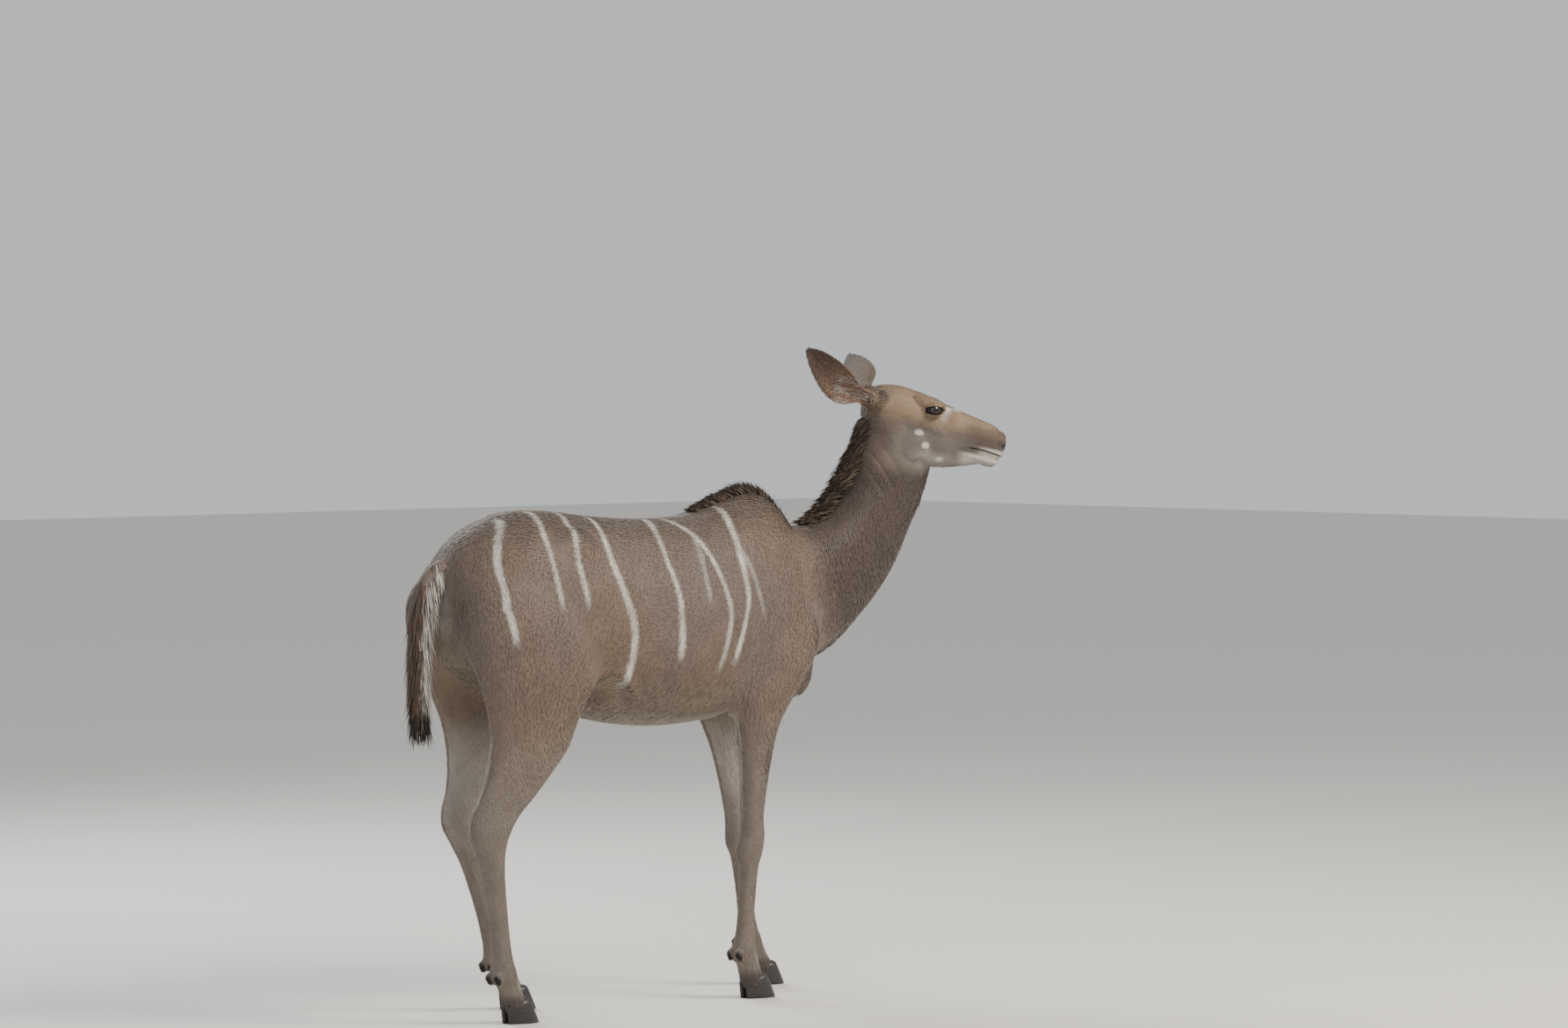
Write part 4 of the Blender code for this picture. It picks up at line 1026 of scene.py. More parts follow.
# The short coat.
# Hair 5 to 22 mm long covers her, bunched by its own oil into thin flat tufts that overlap like thatch. Each
# is a tapered wedge with a low ridge, rooted in the hide and laid back and down the body, down the legs, and
# from the nose backwards on the face.

TUFT_RIDGE = 0.30
# Each tuft is painted darker at its root and a little lighter at its tip: painted shade under the overlapping
# tufts and painted light on their free tips.
ROOT_PAINTED_SHADE, MIDDLE_PAINTED_SHADE, TIP_PAINTED_LIGHT = 0.93, 0.97, 1.03
PATCH = 0.003
# Length, width, how far the tip stands off the hide, and tufts to the square metre.
BODY_TUFT = (0.0190, 0.0034, 0.0021, 42000.0)
BELLY_TUFT = (0.0220, 0.0036, 0.0030, 38000.0)
LEG_TUFT = (0.0105, 0.0023, 0.0016, 88000.0)
FACE_TUFT = (0.0085, 0.0020, 0.0014, 120000.0)
MUZZLE_TUFT = (0.0048, 0.0014, 0.0008, 190000.0)

chance = np.random.default_rng(7)
corners = np.empty(len(skin.data.polygons) * 3, int)
skin.data.polygons.foreach_get("vertices", corners)
corners = corners.reshape(-1, 3)
hide = points_of(skin.data)
hide_normals = normals_of(skin.data)
face_sides = hide[corners[:, 1]] - hide[corners[:, 0]], hide[corners[:, 2]] - hide[corners[:, 0]]
face_areas = np.linalg.norm(np.cross(*face_sides), axis=1) / 2
face_places = hide[corners].mean(axis=1)


def unit(vectors):
    return vectors / np.maximum(np.linalg.norm(vectors, axis=-1, keepdims=True), 1e-9)


def hair_mesh(name, paths, across, out, half_width, colours, places, soft):
    """Tapered locks as one mesh: each from its middle line, with patches of the bake map at their roots."""
    count, steps = paths.shape[0], paths.shape[1] - 1
    wide = half_width[..., None] * across[:, None]
    high = half_width[..., None] * out[:, None] * TUFT_RIDGE
    middle = paths[:, :steps]
    rings = np.stack([middle - wide, middle + high, middle + wide], axis=2).reshape(count, steps * 3, 3)
    points = np.concatenate([rings, paths[:, steps:]], axis=1)
    pattern = []
    for s in range(0, 3 * (steps - 1), 3):
        for j, k in ((0, 1), (1, 2), (2, 0)):
            pattern += [(s + j, s + k, s + 3 + k), (s + j, s + 3 + k, s + 3 + j)]
    last = 3 * (steps - 1)
    pattern += [(last, last + 1, last + 3), (last + 1, last + 2, last + 3), (last + 2, last, last + 3)]
    each = steps * 3 + 1
    faces = (np.array(pattern)[None] + each * np.arange(count)[:, None, None]).reshape(-1, 3)
    mesh = bpy.data.meshes.new(name)
    mesh.vertices.add(count * each)
    mesh.loops.add(len(faces) * 3)
    mesh.polygons.add(len(faces))
    mesh.vertices.foreach_set("co", points.ravel())
    mesh.loops.foreach_set("vertex_index", faces.ravel())
    mesh.polygons.foreach_set("loop_start", np.arange(len(faces)) * 3)
    mesh.update(calc_edges=True)
    stain = np.concatenate([np.repeat(colours[:, :steps], 3, axis=1), colours[:, steps:]], axis=1)
    set_colour(mesh, stain.reshape(-1, 3))
    column = np.append(np.tile((-1, 0, 1), steps), 0) * PATCH / 2
    row = (np.append(np.repeat(np.arange(steps), 3), steps) / steps - 0.5) * PATCH
    spread = places[:, None] + np.stack([column, row], axis=1)[None]
    layer = mesh.uv_layers.new(name="OFBake")
    layer.data.foreach_set("uv", spread.reshape(-1, 2)[faces.ravel()].ravel())
    mesh.shade_smooth()
    if soft:
        lean = np.append(np.tile((-1, 0, 1), steps), 0)[None, :, None] * soft
        shading = unit(out[:, None] + lean * across[:, None])
        mesh.normals_split_custom_set_from_vertices(shading.reshape(-1, 3).tolist())
    obj = bpy.data.objects.new(name, mesh)
    bpy.context.scene.collection.objects.link(obj)
    obj.location = STAND
    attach(obj, "root")
    return obj


def fitted(u, v):
    """Two measures of places on the skin, each fitted to the width of the bake map."""
    pair = [(w - w.min()) / max(w.max() - w.min(), 1e-6) * (1 - 2 * PATCH) + PATCH for w in (u, v)]
    return np.stack(pair, axis=1)


def along_skin(ways, normals):
    """Ways turned to run along the skin."""
    return unit(ways - normals * (ways * normals).sum(axis=1)[:, None])


def lie_of(points, normals):
    """The way the hair lies at each place, along the skin."""
    x, y, z = points.T
    h = in_head(points)
    lie = np.tile((-0.82, 0.0, -0.57), (len(points), 1))
    lie += np.outer(step_up(z, 1.05, 1.14), (-0.30, 0, 0.45))
    lie += np.outer(step_up(-normals[:, 2], 0.4, 0.9), (-0.20, 0, 0.55))
    lie += np.outer(step_up(-x, 0.48, 0.60), (0.60, 0, -0.60))
    lie += np.outer(1 - step_up(z, 0.66, 0.80), (0.70, 0, -0.90))
    on_neck = step_up(x + 0.45 * (z - 1.0), 0.46, 0.60) * step_up(z, 0.84, 0.96)
    lie += np.outer(on_neck, (0.42, 0.04, -0.85))
    face_lie = np.tile((-1.0, 0.0, -0.12), (len(points), 1))
    face_lie += np.outer(step_up(-h[:, 2], 0.060, 0.110), (0.15, 0, -0.42))
    lie_on_head = face_lie @ head_matrix[:3, :3].T
    on_head = (step_up(h[:, 0], -0.03, 0.05) * step_up(z, 1.20, 1.30))[:, None]
    lie = lie * (1 - on_head) + lie_on_head * on_head
    lie = along_skin(lie, normals)
    swirl = 0.22 * ripple(points, 0.16, 21) + 0.14 * chance.normal(size=len(points))
    return unit(lie * np.cos(swirl)[:, None] + np.cross(normals, lie) * np.sin(swirl)[:, None])


def tuft_sizes(points, normals):
    """Length and width of a tuft, how far its tip stands off the skin, and tufts per square metre."""
    x, y, z = points.T
    h = in_head(points)
    on_head = step_up(h[:, 0], -0.02, 0.06) * step_up(z, 1.20, 1.28)
    muzzle = step_up(h[:, 0], 0.22, 0.33)
    low_leg = 1 - step_up(z, 0.42, 0.72)
    under = step_up(-normals[:, 2], 0.3, 0.8) * step_up(z, 0.6, 0.7)
    sizes = np.tile(BODY_TUFT, (len(points), 1))
    tufts = (BELLY_TUFT, under), (LEG_TUFT, low_leg), (FACE_TUFT, on_head), (MUZZLE_TUFT, on_head * muzzle)
    for tuft, share in tufts:
        sizes += (np.array(tuft) - sizes) * share[:, None]
    return sizes


def roots_on(faces, density):
    """Roots spread evenly over some of the skin's faces: their places and the skin's normals there."""
    running = np.cumsum(face_areas[faces] * density)
    count = int(running[-1])
    marks = (np.arange(count) + chance.uniform(0, 1, count)) * running[-1] / count
    chosen = corners[faces[np.minimum(np.searchsorted(running, marks), len(faces) - 1)]]
    a, b = chance.uniform(size=(2, count))
    over = a + b > 1
    a, b = np.where(over, 1 - a, a), np.where(over, 1 - b, b)
    shares = np.stack([1 - a - b, a, b], axis=1)[..., None]
    return (hide[chosen] * shares).sum(axis=1), unit((hide_normals[chosen] * shares).sum(axis=1))


def laid_tufts(name, roots, normals, lies, sizes, colour_at, places, soft=0.13):
    """Short tufts along the lie, each bent once, with the markings of the places they cover."""
    length = (sizes[:, 0] * chance.uniform(0.72, 1.22, len(roots)))[:, None]
    lift = (sizes[:, 2] * chance.uniform(0.45, 1.0, len(roots)))[:, None]
    across = np.cross(lies, normals)
    drift = across * length * chance.normal(0, 0.09, (len(roots), 1))
    start = roots - normals * 0.0005
    bend = roots + lies * length * 0.5 + normals * lift * 0.66
    tip = roots + lies * length + normals * lift + drift
    half = sizes[:, 1] / 2 * chance.uniform(0.75, 1.2, len(roots))
    # Painted shade darkens each tuft towards its root and painted light brightens its tip, on top of a random
    # tone for each tuft.
    shade = np.array((ROOT_PAINTED_SHADE, MIDDLE_PAINTED_SHADE, TIP_PAINTED_LIGHT))[None, :, None]
    shade = shade * chance.uniform(0.94, 1.06, (len(roots), 1, 1))
    paths = np.stack([start, bend, tip], axis=1)
    middle_colour, tip_colour = (colour_at(roots + lies * length * share, normals) for share in (0.45, 0.90))
    colours = np.stack([middle_colour, middle_colour, tip_colour], axis=1) * shade
    return hair_mesh(name, paths, across, normals, half[:, None] * (0.8, 1.0), colours, places, soft)


def around(q, way, up):
    """Places on the skin unrolled about an axis: their stretch along it, and the arc about it."""
    way = unit(np.array(way, float))
    up = unit(np.array(up, float) - way * np.dot(up, way))
    return fitted(q @ way, np.arctan2(q @ np.cross(way, up), q @ up))


def leg_axis(points, name):
    """Places on a leg measured from its middle line."""
    z = points[:, 2]
    front, rear, off = leg_at(name, z)
    return points - np.stack([(front + rear) / 2 + leg_shift(name, z), leg_side(name) * off, 0 * z], axis=1)


CORONET_HEIGHT = 0.050
CORONET_SLOPE = 0.30


def coronet(leg):
    """The front and rear of a foot where its horn begins, before the leg's shift, and that shift."""
    front, rear, _ = leg_at(leg, CORONET_HEIGHT)
    return front, rear, leg_shift(leg, CORONET_HEIGHT)


def horn_rim(points):
    """The height of the hooves' upper rim at places of the feet."""
    rim = np.full(len(points), CORONET_HEIGHT)
    for name in STANCE:
        front, rear, shift = coronet(name)
        own = (points[:, 1] * leg_side(name) > 0) & ((points[:, 0] > 0) == name.startswith("fore"))
        rim[own] += CORONET_SLOPE * (points[own, 0] - (front + rear) / 2 - shift)
    return rim


face_heads = in_head(face_places)
face_normals = unit(np.cross(*face_sides))
on_body = (corners < hide_points).all(axis=1)
bare = np.maximum(nose_mask(face_heads), rim_mask(face_heads)) * (face_places[:, 2] > 1.2)
on_body &= (bare < 0.35) & (face_places[:, 2] > horn_rim(face_places) - 0.004)
x, y, z = face_places.T
is_head = (face_heads[:, 0] > -0.005) & (z > 1.24)
is_leg = z < 0.66
is_neck = ~is_head & ~is_leg & (x + 0.45 * (z - 1.0) > 0.47)
COAT_AXES = {
    "coat_head": (is_head, HEAD @ Vector((0, 0, -0.075)), HEAD.to_3x3() @ Vector((1, 0, 0)), (0, 0, -1)),
    "coat_neck": (is_neck, (0.62, -0.02, 1.10), (0.35, -0.08, 0.93), (-1, 0, 0)),
}
trunk_faces = ~is_head & ~is_leg & ~is_neck
for side, word in ((-1, "right"), (1, "left")):
    for zone, low, high in (("rump", -1.0, -0.36), ("flank", -0.36, 0.06), ("shoulder", 0.06, 1.0)):
        chosen = trunk_faces & (y * side > 0) & (x > low) & (x <= high)
        COAT_AXES[f"coat_{zone}_{word}"] = (chosen, (0, 0, 0.93), (1, 0, 0), (0, side, 0))
for name in STANCE:
    chosen = is_leg & (y * leg_side(name) > 0) & ((x > 0) == name.startswith("fore"))
    COAT_AXES["coat_" + name] = (chosen, None, (0, 0, 1), (0, -leg_side(name), 0))

# Short hair with its own oil is half matt with a little sheen: the coat looks soft, not wet.
coat_material, tree, shader = new_material("short glossy hair")
stain = node(tree, "ShaderNodeAttribute", {"attribute_name": "hair colour"})
tree.links.new(stain.outputs["Color"], shader.inputs["Base Color"])
shader.inputs["Roughness"].default_value = 0.62
shader.inputs["Specular IOR Level"].default_value = 0.35
shader.inputs["Sheen Weight"].default_value = 0.10
shader.inputs["Sheen Roughness"].default_value = 0.5

for name, (chosen, start, way, up) in COAT_AXES.items():
    faces = np.flatnonzero(chosen & on_body)
    density = tuft_sizes(face_places[faces], face_normals[faces])[:, 3]
    roots, out = roots_on(faces, density)
    sizes = tuft_sizes(roots, out)
    q = leg_axis(roots, name[5:]) if start is None else roots - np.array(start)
    piece = laid_tufts(name, roots, out, lie_of(roots, out), sizes, coat_colour, around(q, way, up))
    piece.data.materials.append(coat_material)

# The hair of the ears.
# Short hair covers both faces of each ear; long pale hair stands in rows inside its cup.

EAR_TUFT = (0.0075, 0.0019, 0.0016, 105000.0)
EAR_ROWS = (-0.026, 0.002, 0.030)
EAR_ROW_WIDTH = 0.009
EAR_LONG_HAIR = 0.034
EAR_LONG_HAIRS = 60000.0  # to the square metre

ear_faces_all = (corners >= hide_points).all(axis=1) & (corners < ear_points).all(axis=1)
for name in EARS:
    root, axis, front = (np.array(v) for v in ear_frame(name))
    across_ear = np.cross(axis, front)
    side = 1 if name == "ear_left" else -1
    q = face_heads - root
    own = ear_faces_all & (face_heads[:, 1] * side > 0)
    faces = np.flatnonzero(own)
    roots, out = roots_on(faces, EAR_TUFT[3])
    local = in_head(roots) - root
    share = np.clip(local @ axis / 0.255, 0, 1)
    lies = np.tile(axis, (len(roots), 1)) + 0.5 * np.outer(local @ across_ear / 0.06, across_ear)
    lies = lies @ head_matrix[:3, :3].T
    lies = along_skin(lies, out)
    sizes = np.tile(EAR_TUFT, (len(roots), 1))
    places = fitted(local @ axis, np.arctan2(local @ front - 0.02, local @ across_ear))
    piece = laid_tufts("coat_" + name, roots, out, lies, sizes, ear_colour, places, 0.0)
    piece.data.materials.append(coat_material)
    turned = face_normals @ head_matrix[:3, :3] @ front
    row_gap = np.min([np.abs(q @ across_ear - row) for row in EAR_ROWS], axis=0)
    in_cup = (turned > 0.10) & (q @ axis > 0.020) & (q @ axis < 0.125)
    long_faces = np.flatnonzero(own & in_cup & (row_gap < EAR_ROW_WIDTH))
    roots, out = roots_on(long_faces, EAR_LONG_HAIRS)
    local = in_head(roots) - root
    lies = unit(np.tile(axis, (len(roots), 1)) + chance.normal(0, 0.12, (len(roots), 3)))
    lies = lies @ head_matrix[:3, :3].T
    lies = along_skin(lies, out)
    far = np.clip(local @ axis / 0.20, 0, 1)[:, None]
    sizes = np.hstack([EAR_LONG_HAIR * (1 - 0.45 * far), 0.0011 + 0 * far, 0.0045 - 0.002 * far, 0 * far])
    places = fitted(local @ axis, local @ across_ear)
    piece = laid_tufts("long_hair_" + name, roots, out, lies, sizes, ear_streak, places, 0.0)
    piece.data.materials.append(coat_material)

# The mane and the crest.
# A short upright mane of coarse dark hair runs down the nape, and a crest of it stands on the withers. It is
# longer than the coat, springs from the middle line and bends down the neck or back along the body.

MANE_HAIRS = 2300
MANE_LENGTH = 0.062
MANE_REACH = (0.27, 0.90)
MANE_SPREAD = 0.13
CREST_HAIRS = 1300
CREST_LENGTH = 0.046
CREST_REACH = (0.455, 0.150)
CREST_SPREAD = 0.0075
HAIR_SINK = 0.006
LOCK_STEPS = 5
LOCK_WIDTH = 0.0028
MANE_DARK = "352a24"
MANE_BROWN = "55443a"
MANE_PALE = "857460"

skin_tree = BVHTree.FromPolygons(hide.tolist(), corners.tolist())


def strands(roots, ways, lies, lengths, steps, sway):
    """Middle lines of locks that bend from the way they grow to their lie."""
    point = roots - ways * HAIR_SINK
    paths = [point]
    for step in range(steps):
        share = (step + 0.5) / steps
        heading = unit(ways * (1 - share) + lies * share + sway * share)
        point = point + heading * ((lengths + HAIR_SINK) / steps)[:, None]
        paths.append(point)
    return np.stack(paths, axis=1)


def long_hair(name, roots, ways, lies, faces, lengths, half_width, colours, places, steps=LOCK_STEPS):
    """Long locks, each flat along its face, tapering from past its middle."""
    sway = chance.normal(0, 0.10, (len(roots), 3))
    paths = strands(roots, ways, lies, lengths, steps, sway)
    across = unit(np.cross(lies, faces))
    out = unit(np.cross(across, lies))
    taper = np.interp(np.arange(steps) / steps, (0, 0.35, 0.7, 1.0), (0.75, 1.0, 0.72, 0.2))
    return hair_mesh(name, paths, across, out, half_width[:, None] * taper, colours, places, 0.0)


def along_lock(root_colour, tip_colour, steps=LOCK_STEPS, turn=1.4):
    """A lock's colours from its root to its tip."""
    share = (np.arange(steps + 1) / steps)[None, :, None] ** turn
    return root_colour[:, None] * (1 - share) + tip_colour[:, None] * share


def dyed(count, *parts):
    """One colour for each lock, picked at random: parts give a colour and its share."""
    picks = chance.choice(len(parts), count, p=[share for _, share in parts])
    return np.stack([linear(colour) for colour, _ in parts])[picks] * chance.uniform(0.75, 1.25, (count, 1))


def parted(rows):
    """Rows of roots, ways, lies and faces with three measures, as seven arrays."""
    rows = np.array(rows)
    return [rows[:, k : k + 3] for k in (0, 3, 6, 9)] + [rows[:, k] for k in (12, 13, 14)]


frames = neck_frames(16)
rows = []
for i in range(MANE_HAIRS):
    share = (i + chance.uniform()) / MANE_HAIRS
    place = MANE_REACH[0] + (MANE_REACH[1] - MANE_REACH[0]) * share
    centre, side, nape = frames[min(round(place * (len(frames) - 1)), len(frames) - 1)][:3]
    down = nape.cross(side)
    row = chance.normal(0, MANE_SPREAD)
    out = nape * math.cos(row) + side * math.sin(row)
    hit = skin_tree.ray_cast(centre + out, -out)[0]
    if hit is None:
        continue
    size = (0.50 + 0.50 * math.sin(math.pi * share) ** 0.6) * chance.uniform(0.62, 1.08)
    face = side + out * math.sin(row) + down * chance.uniform(-0.4, 0.4)
    way = (out * 0.86 + down * 0.50).normalized()
    lie = (out * chance.uniform(0.15, 0.45) + down + side * chance.normal(0, 0.10)).normalized()
    rows.append((*hit, *way, *lie, *face, MANE_LENGTH * size, share, row))
roots, ways, lies, faces, lengths, share, row = parted(rows)
half = LOCK_WIDTH / 2 * chance.uniform(0.6, 1.25, len(rows))
base = dyed(len(rows), (MANE_BROWN, 0.55), (MANE_PALE, 0.30), (MANE_DARK, 0.15))
tips = dyed(len(rows), (MANE_DARK, 0.60), (MANE_BROWN, 0.25), (MANE_PALE, 0.15))
colours = along_lock(base, tips)
mane = long_hair("mane", roots, ways, lies, faces, lengths, half, colours, fitted(share, row))

rows = []
for i in range(CREST_HAIRS):
    share = (i + chance.uniform()) / CREST_HAIRS
    x = CREST_REACH[0] + (CREST_REACH[1] - CREST_REACH[0]) * share
    y = chance.normal(0, CREST_SPREAD)
    root, out, _, _ = skin_tree.ray_cast(Vector((x, y, 1.6)), Vector((0, 0, -1)))
    size = (0.50 + 0.50 * math.sin(math.pi * share) ** 0.7) * chance.uniform(0.62, 1.05)
    back = (Vector((-1, 0, 0)) - out * Vector((-1, 0, 0)).dot(out)).normalized()
    face = Vector((chance.uniform(-0.3, 0.3), 1, -y * 12))
    way = (out * 0.85 + back * 0.53).normalized()
    lie = (out * chance.uniform(0.14, 0.38) + back + Vector((0, chance.normal(0, 0.10), 0))).normalized()
    rows.append((*root, *way, *lie, *face, CREST_LENGTH * size, share, y))
roots, ways, lies, faces, lengths, share, row = parted(rows)
half = LOCK_WIDTH / 2 * chance.uniform(0.6, 1.25, len(rows))
base = dyed(len(rows), (MANE_BROWN, 0.70), (MANE_PALE, 0.15), (MANE_DARK, 0.15))
tips = dyed(len(rows), (MANE_DARK, 0.80), (MANE_BROWN, 0.20))
colours = along_lock(base, tips)
crest = long_hair("crest", roots, ways, lies, faces, lengths, half, colours, fitted(share, row))

# Coarse long hair is smoother: each lock catches a thin highlight, so that it reads as a little stiff.
long_material, tree, shader = new_material("coarse long hair")
stain = node(tree, "ShaderNodeAttribute", {"attribute_name": "hair colour"})
tree.links.new(stain.outputs["Color"], shader.inputs["Base Color"])
shader.inputs["Roughness"].default_value = 0.50
shader.inputs["Specular IOR Level"].default_value = 0.40
for piece in (mane, crest):
    piece.data.materials.append(long_material)

# The hair of the tail.
# The tail hangs almost to the hocks in a soft brush: brown behind, white at its edges and underside, and
# black at its end. Its locks root all round the dock and hang along it.

TAIL_HAIRS = 2000
TAIL_HAIR = (1.050, 0.722)
TAIL_LOCK = 0.100
TAIL_LOCK_WIDTH = 0.0036
TAIL_BROWN = "5a4636"
TAIL_BLACK = "1f1a18"

rows = []
dock_line = between([(row[1], row[0], row[2]) for row in TAIL], 6)[::-1]
for i in range(TAIL_HAIRS):
    height = TAIL_HAIR[0] + (TAIL_HAIR[1] - TAIL_HAIR[0]) * ((i + chance.uniform()) / TAIL_HAIRS) ** 0.85
    hanging = dock_line[dock_line[:, 1] < -0.66]
    x, radius = (np.interp(height, hanging[:, 0], hanging[:, k]) for k in (1, 2))
    turn = chance.uniform(0, 2 * math.pi)
    out = Vector((0.75 * math.cos(turn), math.sin(turn), 0)).normalized()
    root = Vector((x, 0, height)) + out * radius * 0.8
    way = (out * 0.46 + Vector((0, 0, -1))).normalized()
    lie = (out * chance.uniform(-0.07, 0.12) + Vector((0, 0, -1))).normalized()
    short = 0.55 + 0.45 * step_up(TAIL_HAIR[0] - height, 0.0, 0.08)
    rows.append((*root, *way, *lie, *out, TAIL_LOCK * chance.uniform(0.70, 1.02) * short, turn, height))
roots, ways, lies, faces, lengths, turn, height = parted(rows)
half = TAIL_LOCK_WIDTH / 2 * chance.uniform(0.6, 1.25, len(rows))
brown = dyed(len(rows), (TAIL_BROWN, 0.7), (FAWN, 0.3))
white = dyed(len(rows), (WHITE_HAIR, 0.85), (BELLY, 0.15))
black = dyed(len(rows), (TAIL_BLACK, 0.85), (TAIL_BROWN, 0.15))
behind = step_up(-faces[:, 0] + chance.normal(0, 0.12, len(rows)), 0.35, 0.60)[:, None]
ending = (1 - step_up(height + chance.normal(0, 0.012, len(rows)), 0.765, 0.800))[:, None]
upper = white * (1 - behind) + brown * behind
root_colour = upper * (1 - ending) + black * ending
# Each lock is painted darker towards its root: painted shade where the locks crowd round the dock.
colours = along_lock(root_colour * 0.85, root_colour)
tail_hair = long_hair("tail_hair", roots, ways, lies, faces, lengths, half, colours, fitted(turn, height))
tail_hair.data.materials.append(long_material)
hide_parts("tail")

# The eyes.
# Large dark eyeballs, nearly black, with a brown iris and a level oval pupil, wet and glossy.
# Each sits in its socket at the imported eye's place.

IRIS_RADIUS = 0.0128
PUPIL = (0.0085, 0.0050)
CORNEA_RISE = 0.0010
LASHES = 34
LASH_LENGTH = 0.0125
LASH_WIDTH = 0.00064
LASH_STEPS = 4
BALL_BROWN = "110c0a"
IRIS_BROWN = "3a2618"
PUPIL_BLACK = "08080b"

# A wet eye is almost a mirror: the lights show in it as small sharp spots, so that she looks alive.
eye_material, tree, shader = new_material("wet dark eye")
stain = node(tree, "ShaderNodeAttribute", {"attribute_name": "hair colour"})
tree.links.new(stain.outputs["Color"], shader.inputs["Base Color"])
shader.inputs["Roughness"].default_value = 0.07
shader.inputs["Coat Weight"].default_value = 0.6
shader.inputs["Coat Roughness"].default_value = 0.02
shader.inputs["IOR"].default_value = 1.38
for side, name in ((-1, "eye_right"), (1, "eye_left")):
    centre, look, long_way, up = eye_frame(side)
    shape = bmesh.new()
    bmesh.ops.create_uvsphere(shape, u_segments=96, v_segments=64, radius=EYE_RADIUS)
    eyeball = object_of(name + "_ball", shape)
    ball_points = points_of(eyeball.data)
    off = np.hypot(ball_points[:, 0], ball_points[:, 1])
    front = ball_points[:, 2] > 0
    iris = (1 - step_up(off, IRIS_RADIUS - 0.0006, IRIS_RADIUS + 0.0006)) * front
    pupil_level = (ball_points[:, 0] / PUPIL[0]) ** 2 + (ball_points[:, 1] / PUPIL[1]) ** 2
    fibres = 0.5 + 0.5 * np.sin(41 * np.arctan2(ball_points[:, 1], ball_points[:, 0]))
    tone = mix(plain(BALL_BROWN, len(ball_points)), IRIS_BROWN, iris * (0.75 + 0.25 * fibres))
    tone = mix(tone, PUPIL_BLACK, (1 - step_up(pupil_level, 0.85, 1.15)) * front)
    set_colour(eyeball.data, tone)
    bulge = CORNEA_RISE * (1 - np.clip(off / IRIS_RADIUS, 0, 1) ** 2) * front
    move_points(eyeball.data, ball_points * (1 + bulge / EYE_RADIUS)[:, None])
    eyeball.data.shade_smooth()
    eyeball.data.materials.append(eye_material)
    turned = Matrix((long_way, look.cross(long_way), look)).transposed()
    eyeball.rotation_mode = "QUATERNION"
    eyeball.rotation_quaternion = (HEAD.to_3x3() @ turned).to_quaternion()
    eyeball.location = middle_of(name)
    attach(eyeball, "root")
    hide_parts(name)

    t = np.linspace(-0.86, 0.82, LASHES)
    a = t * LID_LENGTH
    u = LID_RISE * np.sqrt(np.clip(1.20 - np.abs(t) ** 1.7, 0, 1))
    deep = np.sqrt((EYE_RADIUS + LID_THICK + 0.0006) ** 2 - a * a - u * u)
    centre, look, long_way, up = (np.array(v) for v in (centre, look, long_way, up))
    roots = centre + np.outer(a, long_way) + np.outer(u, up) + np.outer(deep, look)
    ways = unit(look + 0.35 * up + np.outer(0.5 * t, long_way))
    lies = unit(0.85 * look - 0.40 * up + np.outer(0.7 * t, long_way) + chance.normal(0, 0.06, (LASHES, 3)))
    roots, ways, lies = (v @ head_matrix[:3, :3].T for v in (roots, ways, lies))
    roots = roots + head_matrix[:3, 3]
    faces = np.tile(up @ head_matrix[:3, :3].T, (LASHES, 1))
    dark = dyed(LASHES, (SKIN_BLACK, 1.0))
    lash_lengths = LASH_LENGTH * (1 - 0.45 * t * t) * chance.uniform(0.85, 1.1, LASHES)
    half = np.full(LASHES, LASH_WIDTH / 2)
    colours = along_lock(dark, dark, LASH_STEPS)
    lashes = long_hair(
        f"lashes_{name[4:]}", roots, ways, lies, faces, lash_lengths, half, colours, fitted(t, u), LASH_STEPS
    )
    lashes.data.materials.append(long_material)

# The hooves.
# Two claws of black horn on each foot, grown down from the coronet in faint rings and worn flat at the sole.
# Horn is dense keratin with a dull polish.

HOOF_LENGTH = 0.082
CLAW_WIDTH = 0.029
CLAW_LEVELS = (0.0, 0.03, 0.10, 0.22, 0.36, 0.50, 0.64, 0.78, 0.90, 0.97, 1.0)  # from the sole to the rim
HORN_FIBRE = 1 / 30  # metres across, so 33 mm
HORN_RING = 1 / 330  # metres down, so 3 mm
HORN_BLACK = "2b2624"


def claw_form(leg, claw):
    """One claw: a horn wedge with a flat sole, rounded outside and flat towards its twin."""
    front, rear, shift = coronet(leg)
    middle = leg_side(leg) * leg_rows(leg)[-1][4]
    rings = []
    for share in CLAW_LEVELS:
        ring = []
        toe = front + 0.030 - 0.028 * share
        heel = toe - HOOF_LENGTH + 0.022 * share
        worn = 0.0012 * (share == 0.0) + 0.0035 * step_up(share, 0.90, 1.0)
        for turn in 2 * math.pi * np.arange(40) / 40:
            along = 0.5 + 0.5 * math.cos(turn)
            x = heel + worn + (toe - heel - 2 * worn) * along
            full = CLAW_WIDTH * (0.60 + 0.40 * math.sin(math.pi * min(1.0, 0.25 + 0.75 * (1 - along)) ** 0.8))
            wide = math.sin(turn)
            y = 0.0022 + 0.0030 * along * (1 - share)
            rounded = 0.5 + 0.5 * math.copysign(abs(wide) ** 0.75, wide)
            y += full * rounded * (1 - 0.10 * share) - worn * (wide > 0)
            rim = CORONET_HEIGHT + CORONET_SLOPE * (x - (front + rear) / 2)
            ring.append((x + shift, middle + claw * y, share * rim))
        rings.append(ring)
    return tube("claw", rings)


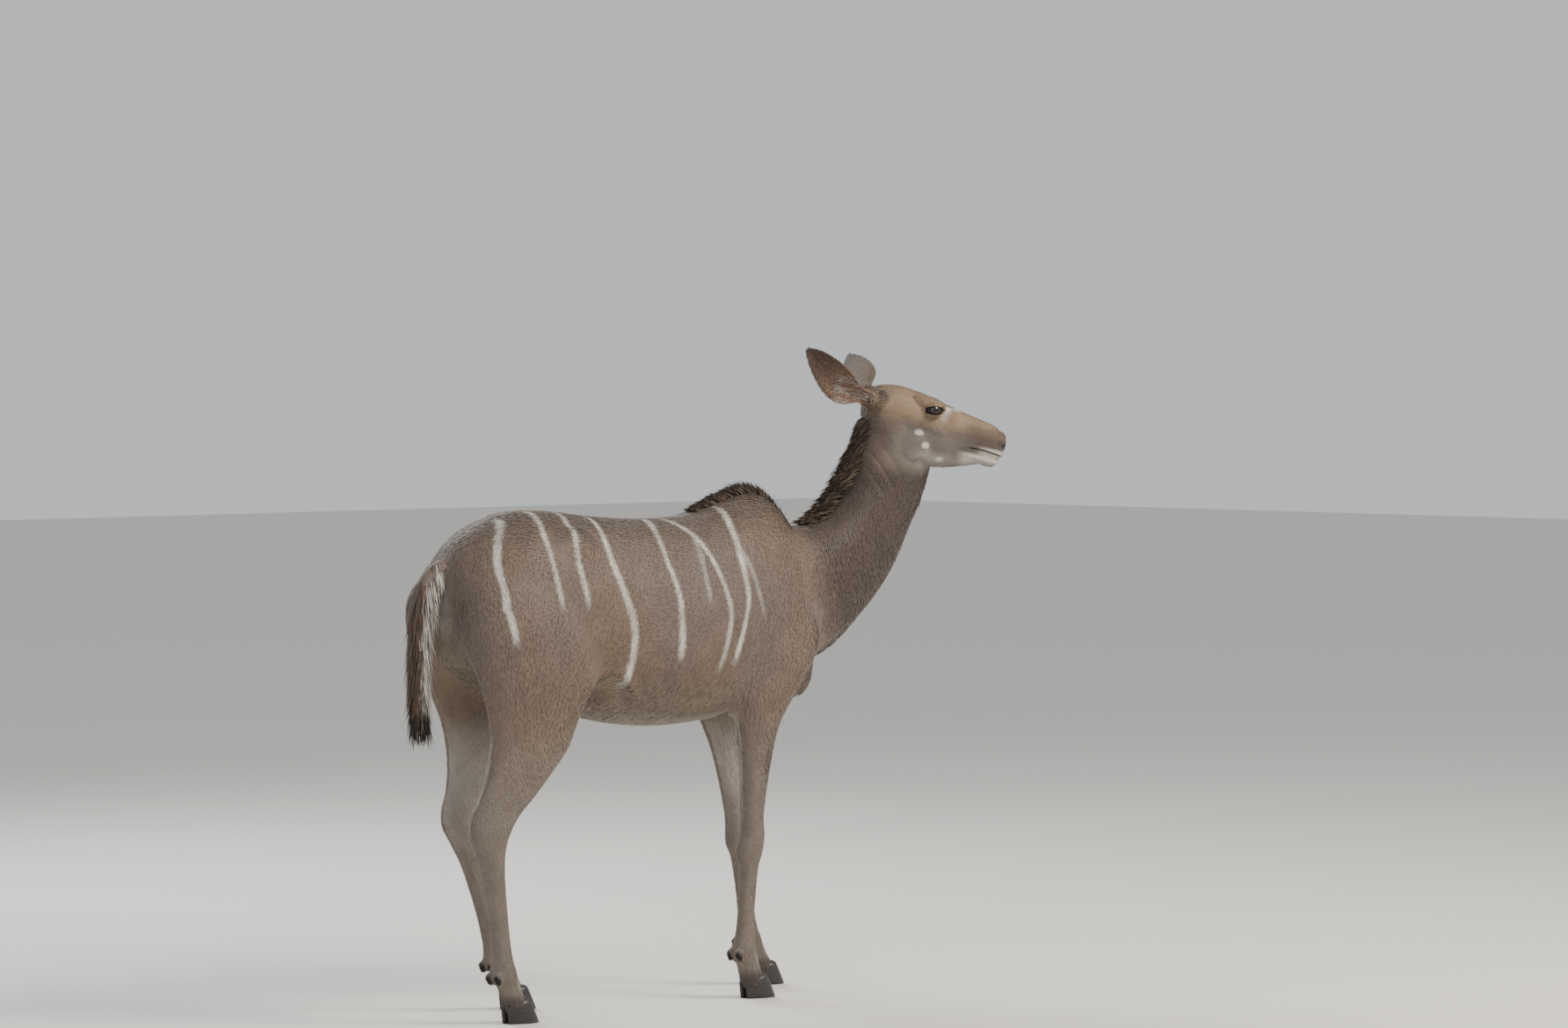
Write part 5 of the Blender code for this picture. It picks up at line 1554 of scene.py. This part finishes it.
# Grown horn, half polished by wear, with rings a little lighter and darker round the claw: it looks hard.
horn_material, tree, shader = new_material("black hoof horn")
place = node(tree, "ShaderNodeTexCoord")
ring_scale = (1 / HORN_FIBRE, 1 / HORN_FIBRE, 1 / HORN_RING)
tall = node(tree, "ShaderNodeMapping", Vector=place.outputs["Object"], Scale=ring_scale)
growth = node(tree, "ShaderNodeTexNoise", Vector=tall.outputs["Vector"], Scale=1.0, Detail=2.0)
shade = node(
    tree,
    "ShaderNodeMapRange",
    Value=growth.outputs["Fac"],
    From_Min=0.3,
    From_Max=0.7,
    To_Min=0.7,
    To_Max=1.5,
)
black = tuple(linear(HORN_BLACK))
tinted = node(tree, "ShaderNodeVectorMath", {"operation": "SCALE"}, i0=black, Scale=shade.outputs["Result"])
tree.links.new(tinted.outputs["Vector"], shader.inputs["Base Color"])
bump = node(tree, "ShaderNodeBump", Height=growth.outputs["Fac"], Strength=0.5, Distance=0.001)
tree.links.new(bump.outputs["Normal"], shader.inputs["Normal"])
shader.inputs["Roughness"].default_value = 0.42
for leg in STANCE:
    for claw in (-1, 1):
        suffix = "inner" if claw * leg_side(leg) < 0 else "outer"
        node_name = f"hoof_{leg.replace('leg', '')}_{suffix}"
        horn = claw_form(leg, claw)
        horn.name = node_name + "_horn"
        horn.data.shade_smooth()
        horn.data.materials.append(horn_material)
        horn.location = STAND
        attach(horn, "root")
        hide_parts(node_name)

# The floor, light and camera.
# A plain pale floor, broad soft lights, and the photo's viewpoint: from behind her right side, far off.

VIEW_TURN = math.radians(43)
VIEW_DISTANCE = 14.5
VIEW_HEIGHT = 1.60
LENS_PIXELS = 7000.0
VIEW_CENTRE = (735.6, 370.0)
PICTURE = (1784, 1170)
FLOOR_GREY = "dcd9d3"
STUDIO_GREY = "e6e8ea"
FLOOR_HALF = 30

shape = bmesh.new()
bmesh.ops.create_grid(shape, x_segments=1, y_segments=1, size=FLOOR_HALF)
floor = object_of("floor", shape)
# Quite matt, so that it holds a soft shadow and no reflection.
floor_material, tree, shader = new_material("pale matt floor")
shader.inputs["Base Color"].default_value = (*linear(FLOOR_GREY), 1)
shader.inputs["Roughness"].default_value = 0.9
floor.data.materials.append(floor_material)

world = bpy.data.worlds.new("studio")
bpy.context.scene.world = world
world.use_nodes = True
world.node_tree.nodes["Background"].inputs["Color"].default_value = (*linear(STUDIO_GREY), 1)
world.node_tree.nodes["Background"].inputs["Strength"].default_value = 0.80


def soft_light(name, place, aim, size, watts, colour):
    light = bpy.data.lights.new(name, "AREA")
    light.shape = "RECTANGLE"
    light.size, light.size_y = size
    light.energy = watts
    light.color = tuple(linear(colour))
    lamp = bpy.data.objects.new(name, light)
    bpy.context.scene.collection.objects.link(lamp)
    lamp.location = place
    lamp.rotation_mode = "QUATERNION"
    lamp.rotation_quaternion = (Vector(aim) - Vector(place)).to_track_quat("-Z", "Y")


soft_light("key", (2.2, -4.2, 4.6), (0, 0, 0.8), (2.4, 2.4), 400.0, "fff6ea")
soft_light("fill", (-4.5, -3.0, 2.4), (0, 0, 0.8), (3.0, 3.0), 60.0, "eef3ff")
soft_light("rim", (0.5, 4.5, 4.2), (0, 0, 1.0), (3.0, 2.0), 240.0, "ffffff")

ahead = Vector((math.sin(VIEW_TURN), math.cos(VIEW_TURN), 0))
across = Vector((math.cos(VIEW_TURN), -math.sin(VIEW_TURN), 0))
camera = bpy.data.objects.new("camera", bpy.data.cameras.new("camera"))
bpy.context.scene.collection.objects.link(camera)
bpy.context.scene.camera = camera
camera.location = STAND + Vector((0, 0, VIEW_HEIGHT)) - ahead * VIEW_DISTANCE
aim = ahead + across * (PICTURE[0] / 2 - VIEW_CENTRE[0]) / LENS_PIXELS
aim -= Vector((0, 0, (PICTURE[1] / 2 - VIEW_CENTRE[1]) / LENS_PIXELS))
camera.rotation_mode = "QUATERNION"
camera.rotation_quaternion = aim.to_track_quat("-Z", "Y")
camera.data.sensor_width = 36.0
camera.data.lens = LENS_PIXELS / PICTURE[0] * 36.0
camera.data.clip_end = 100.0
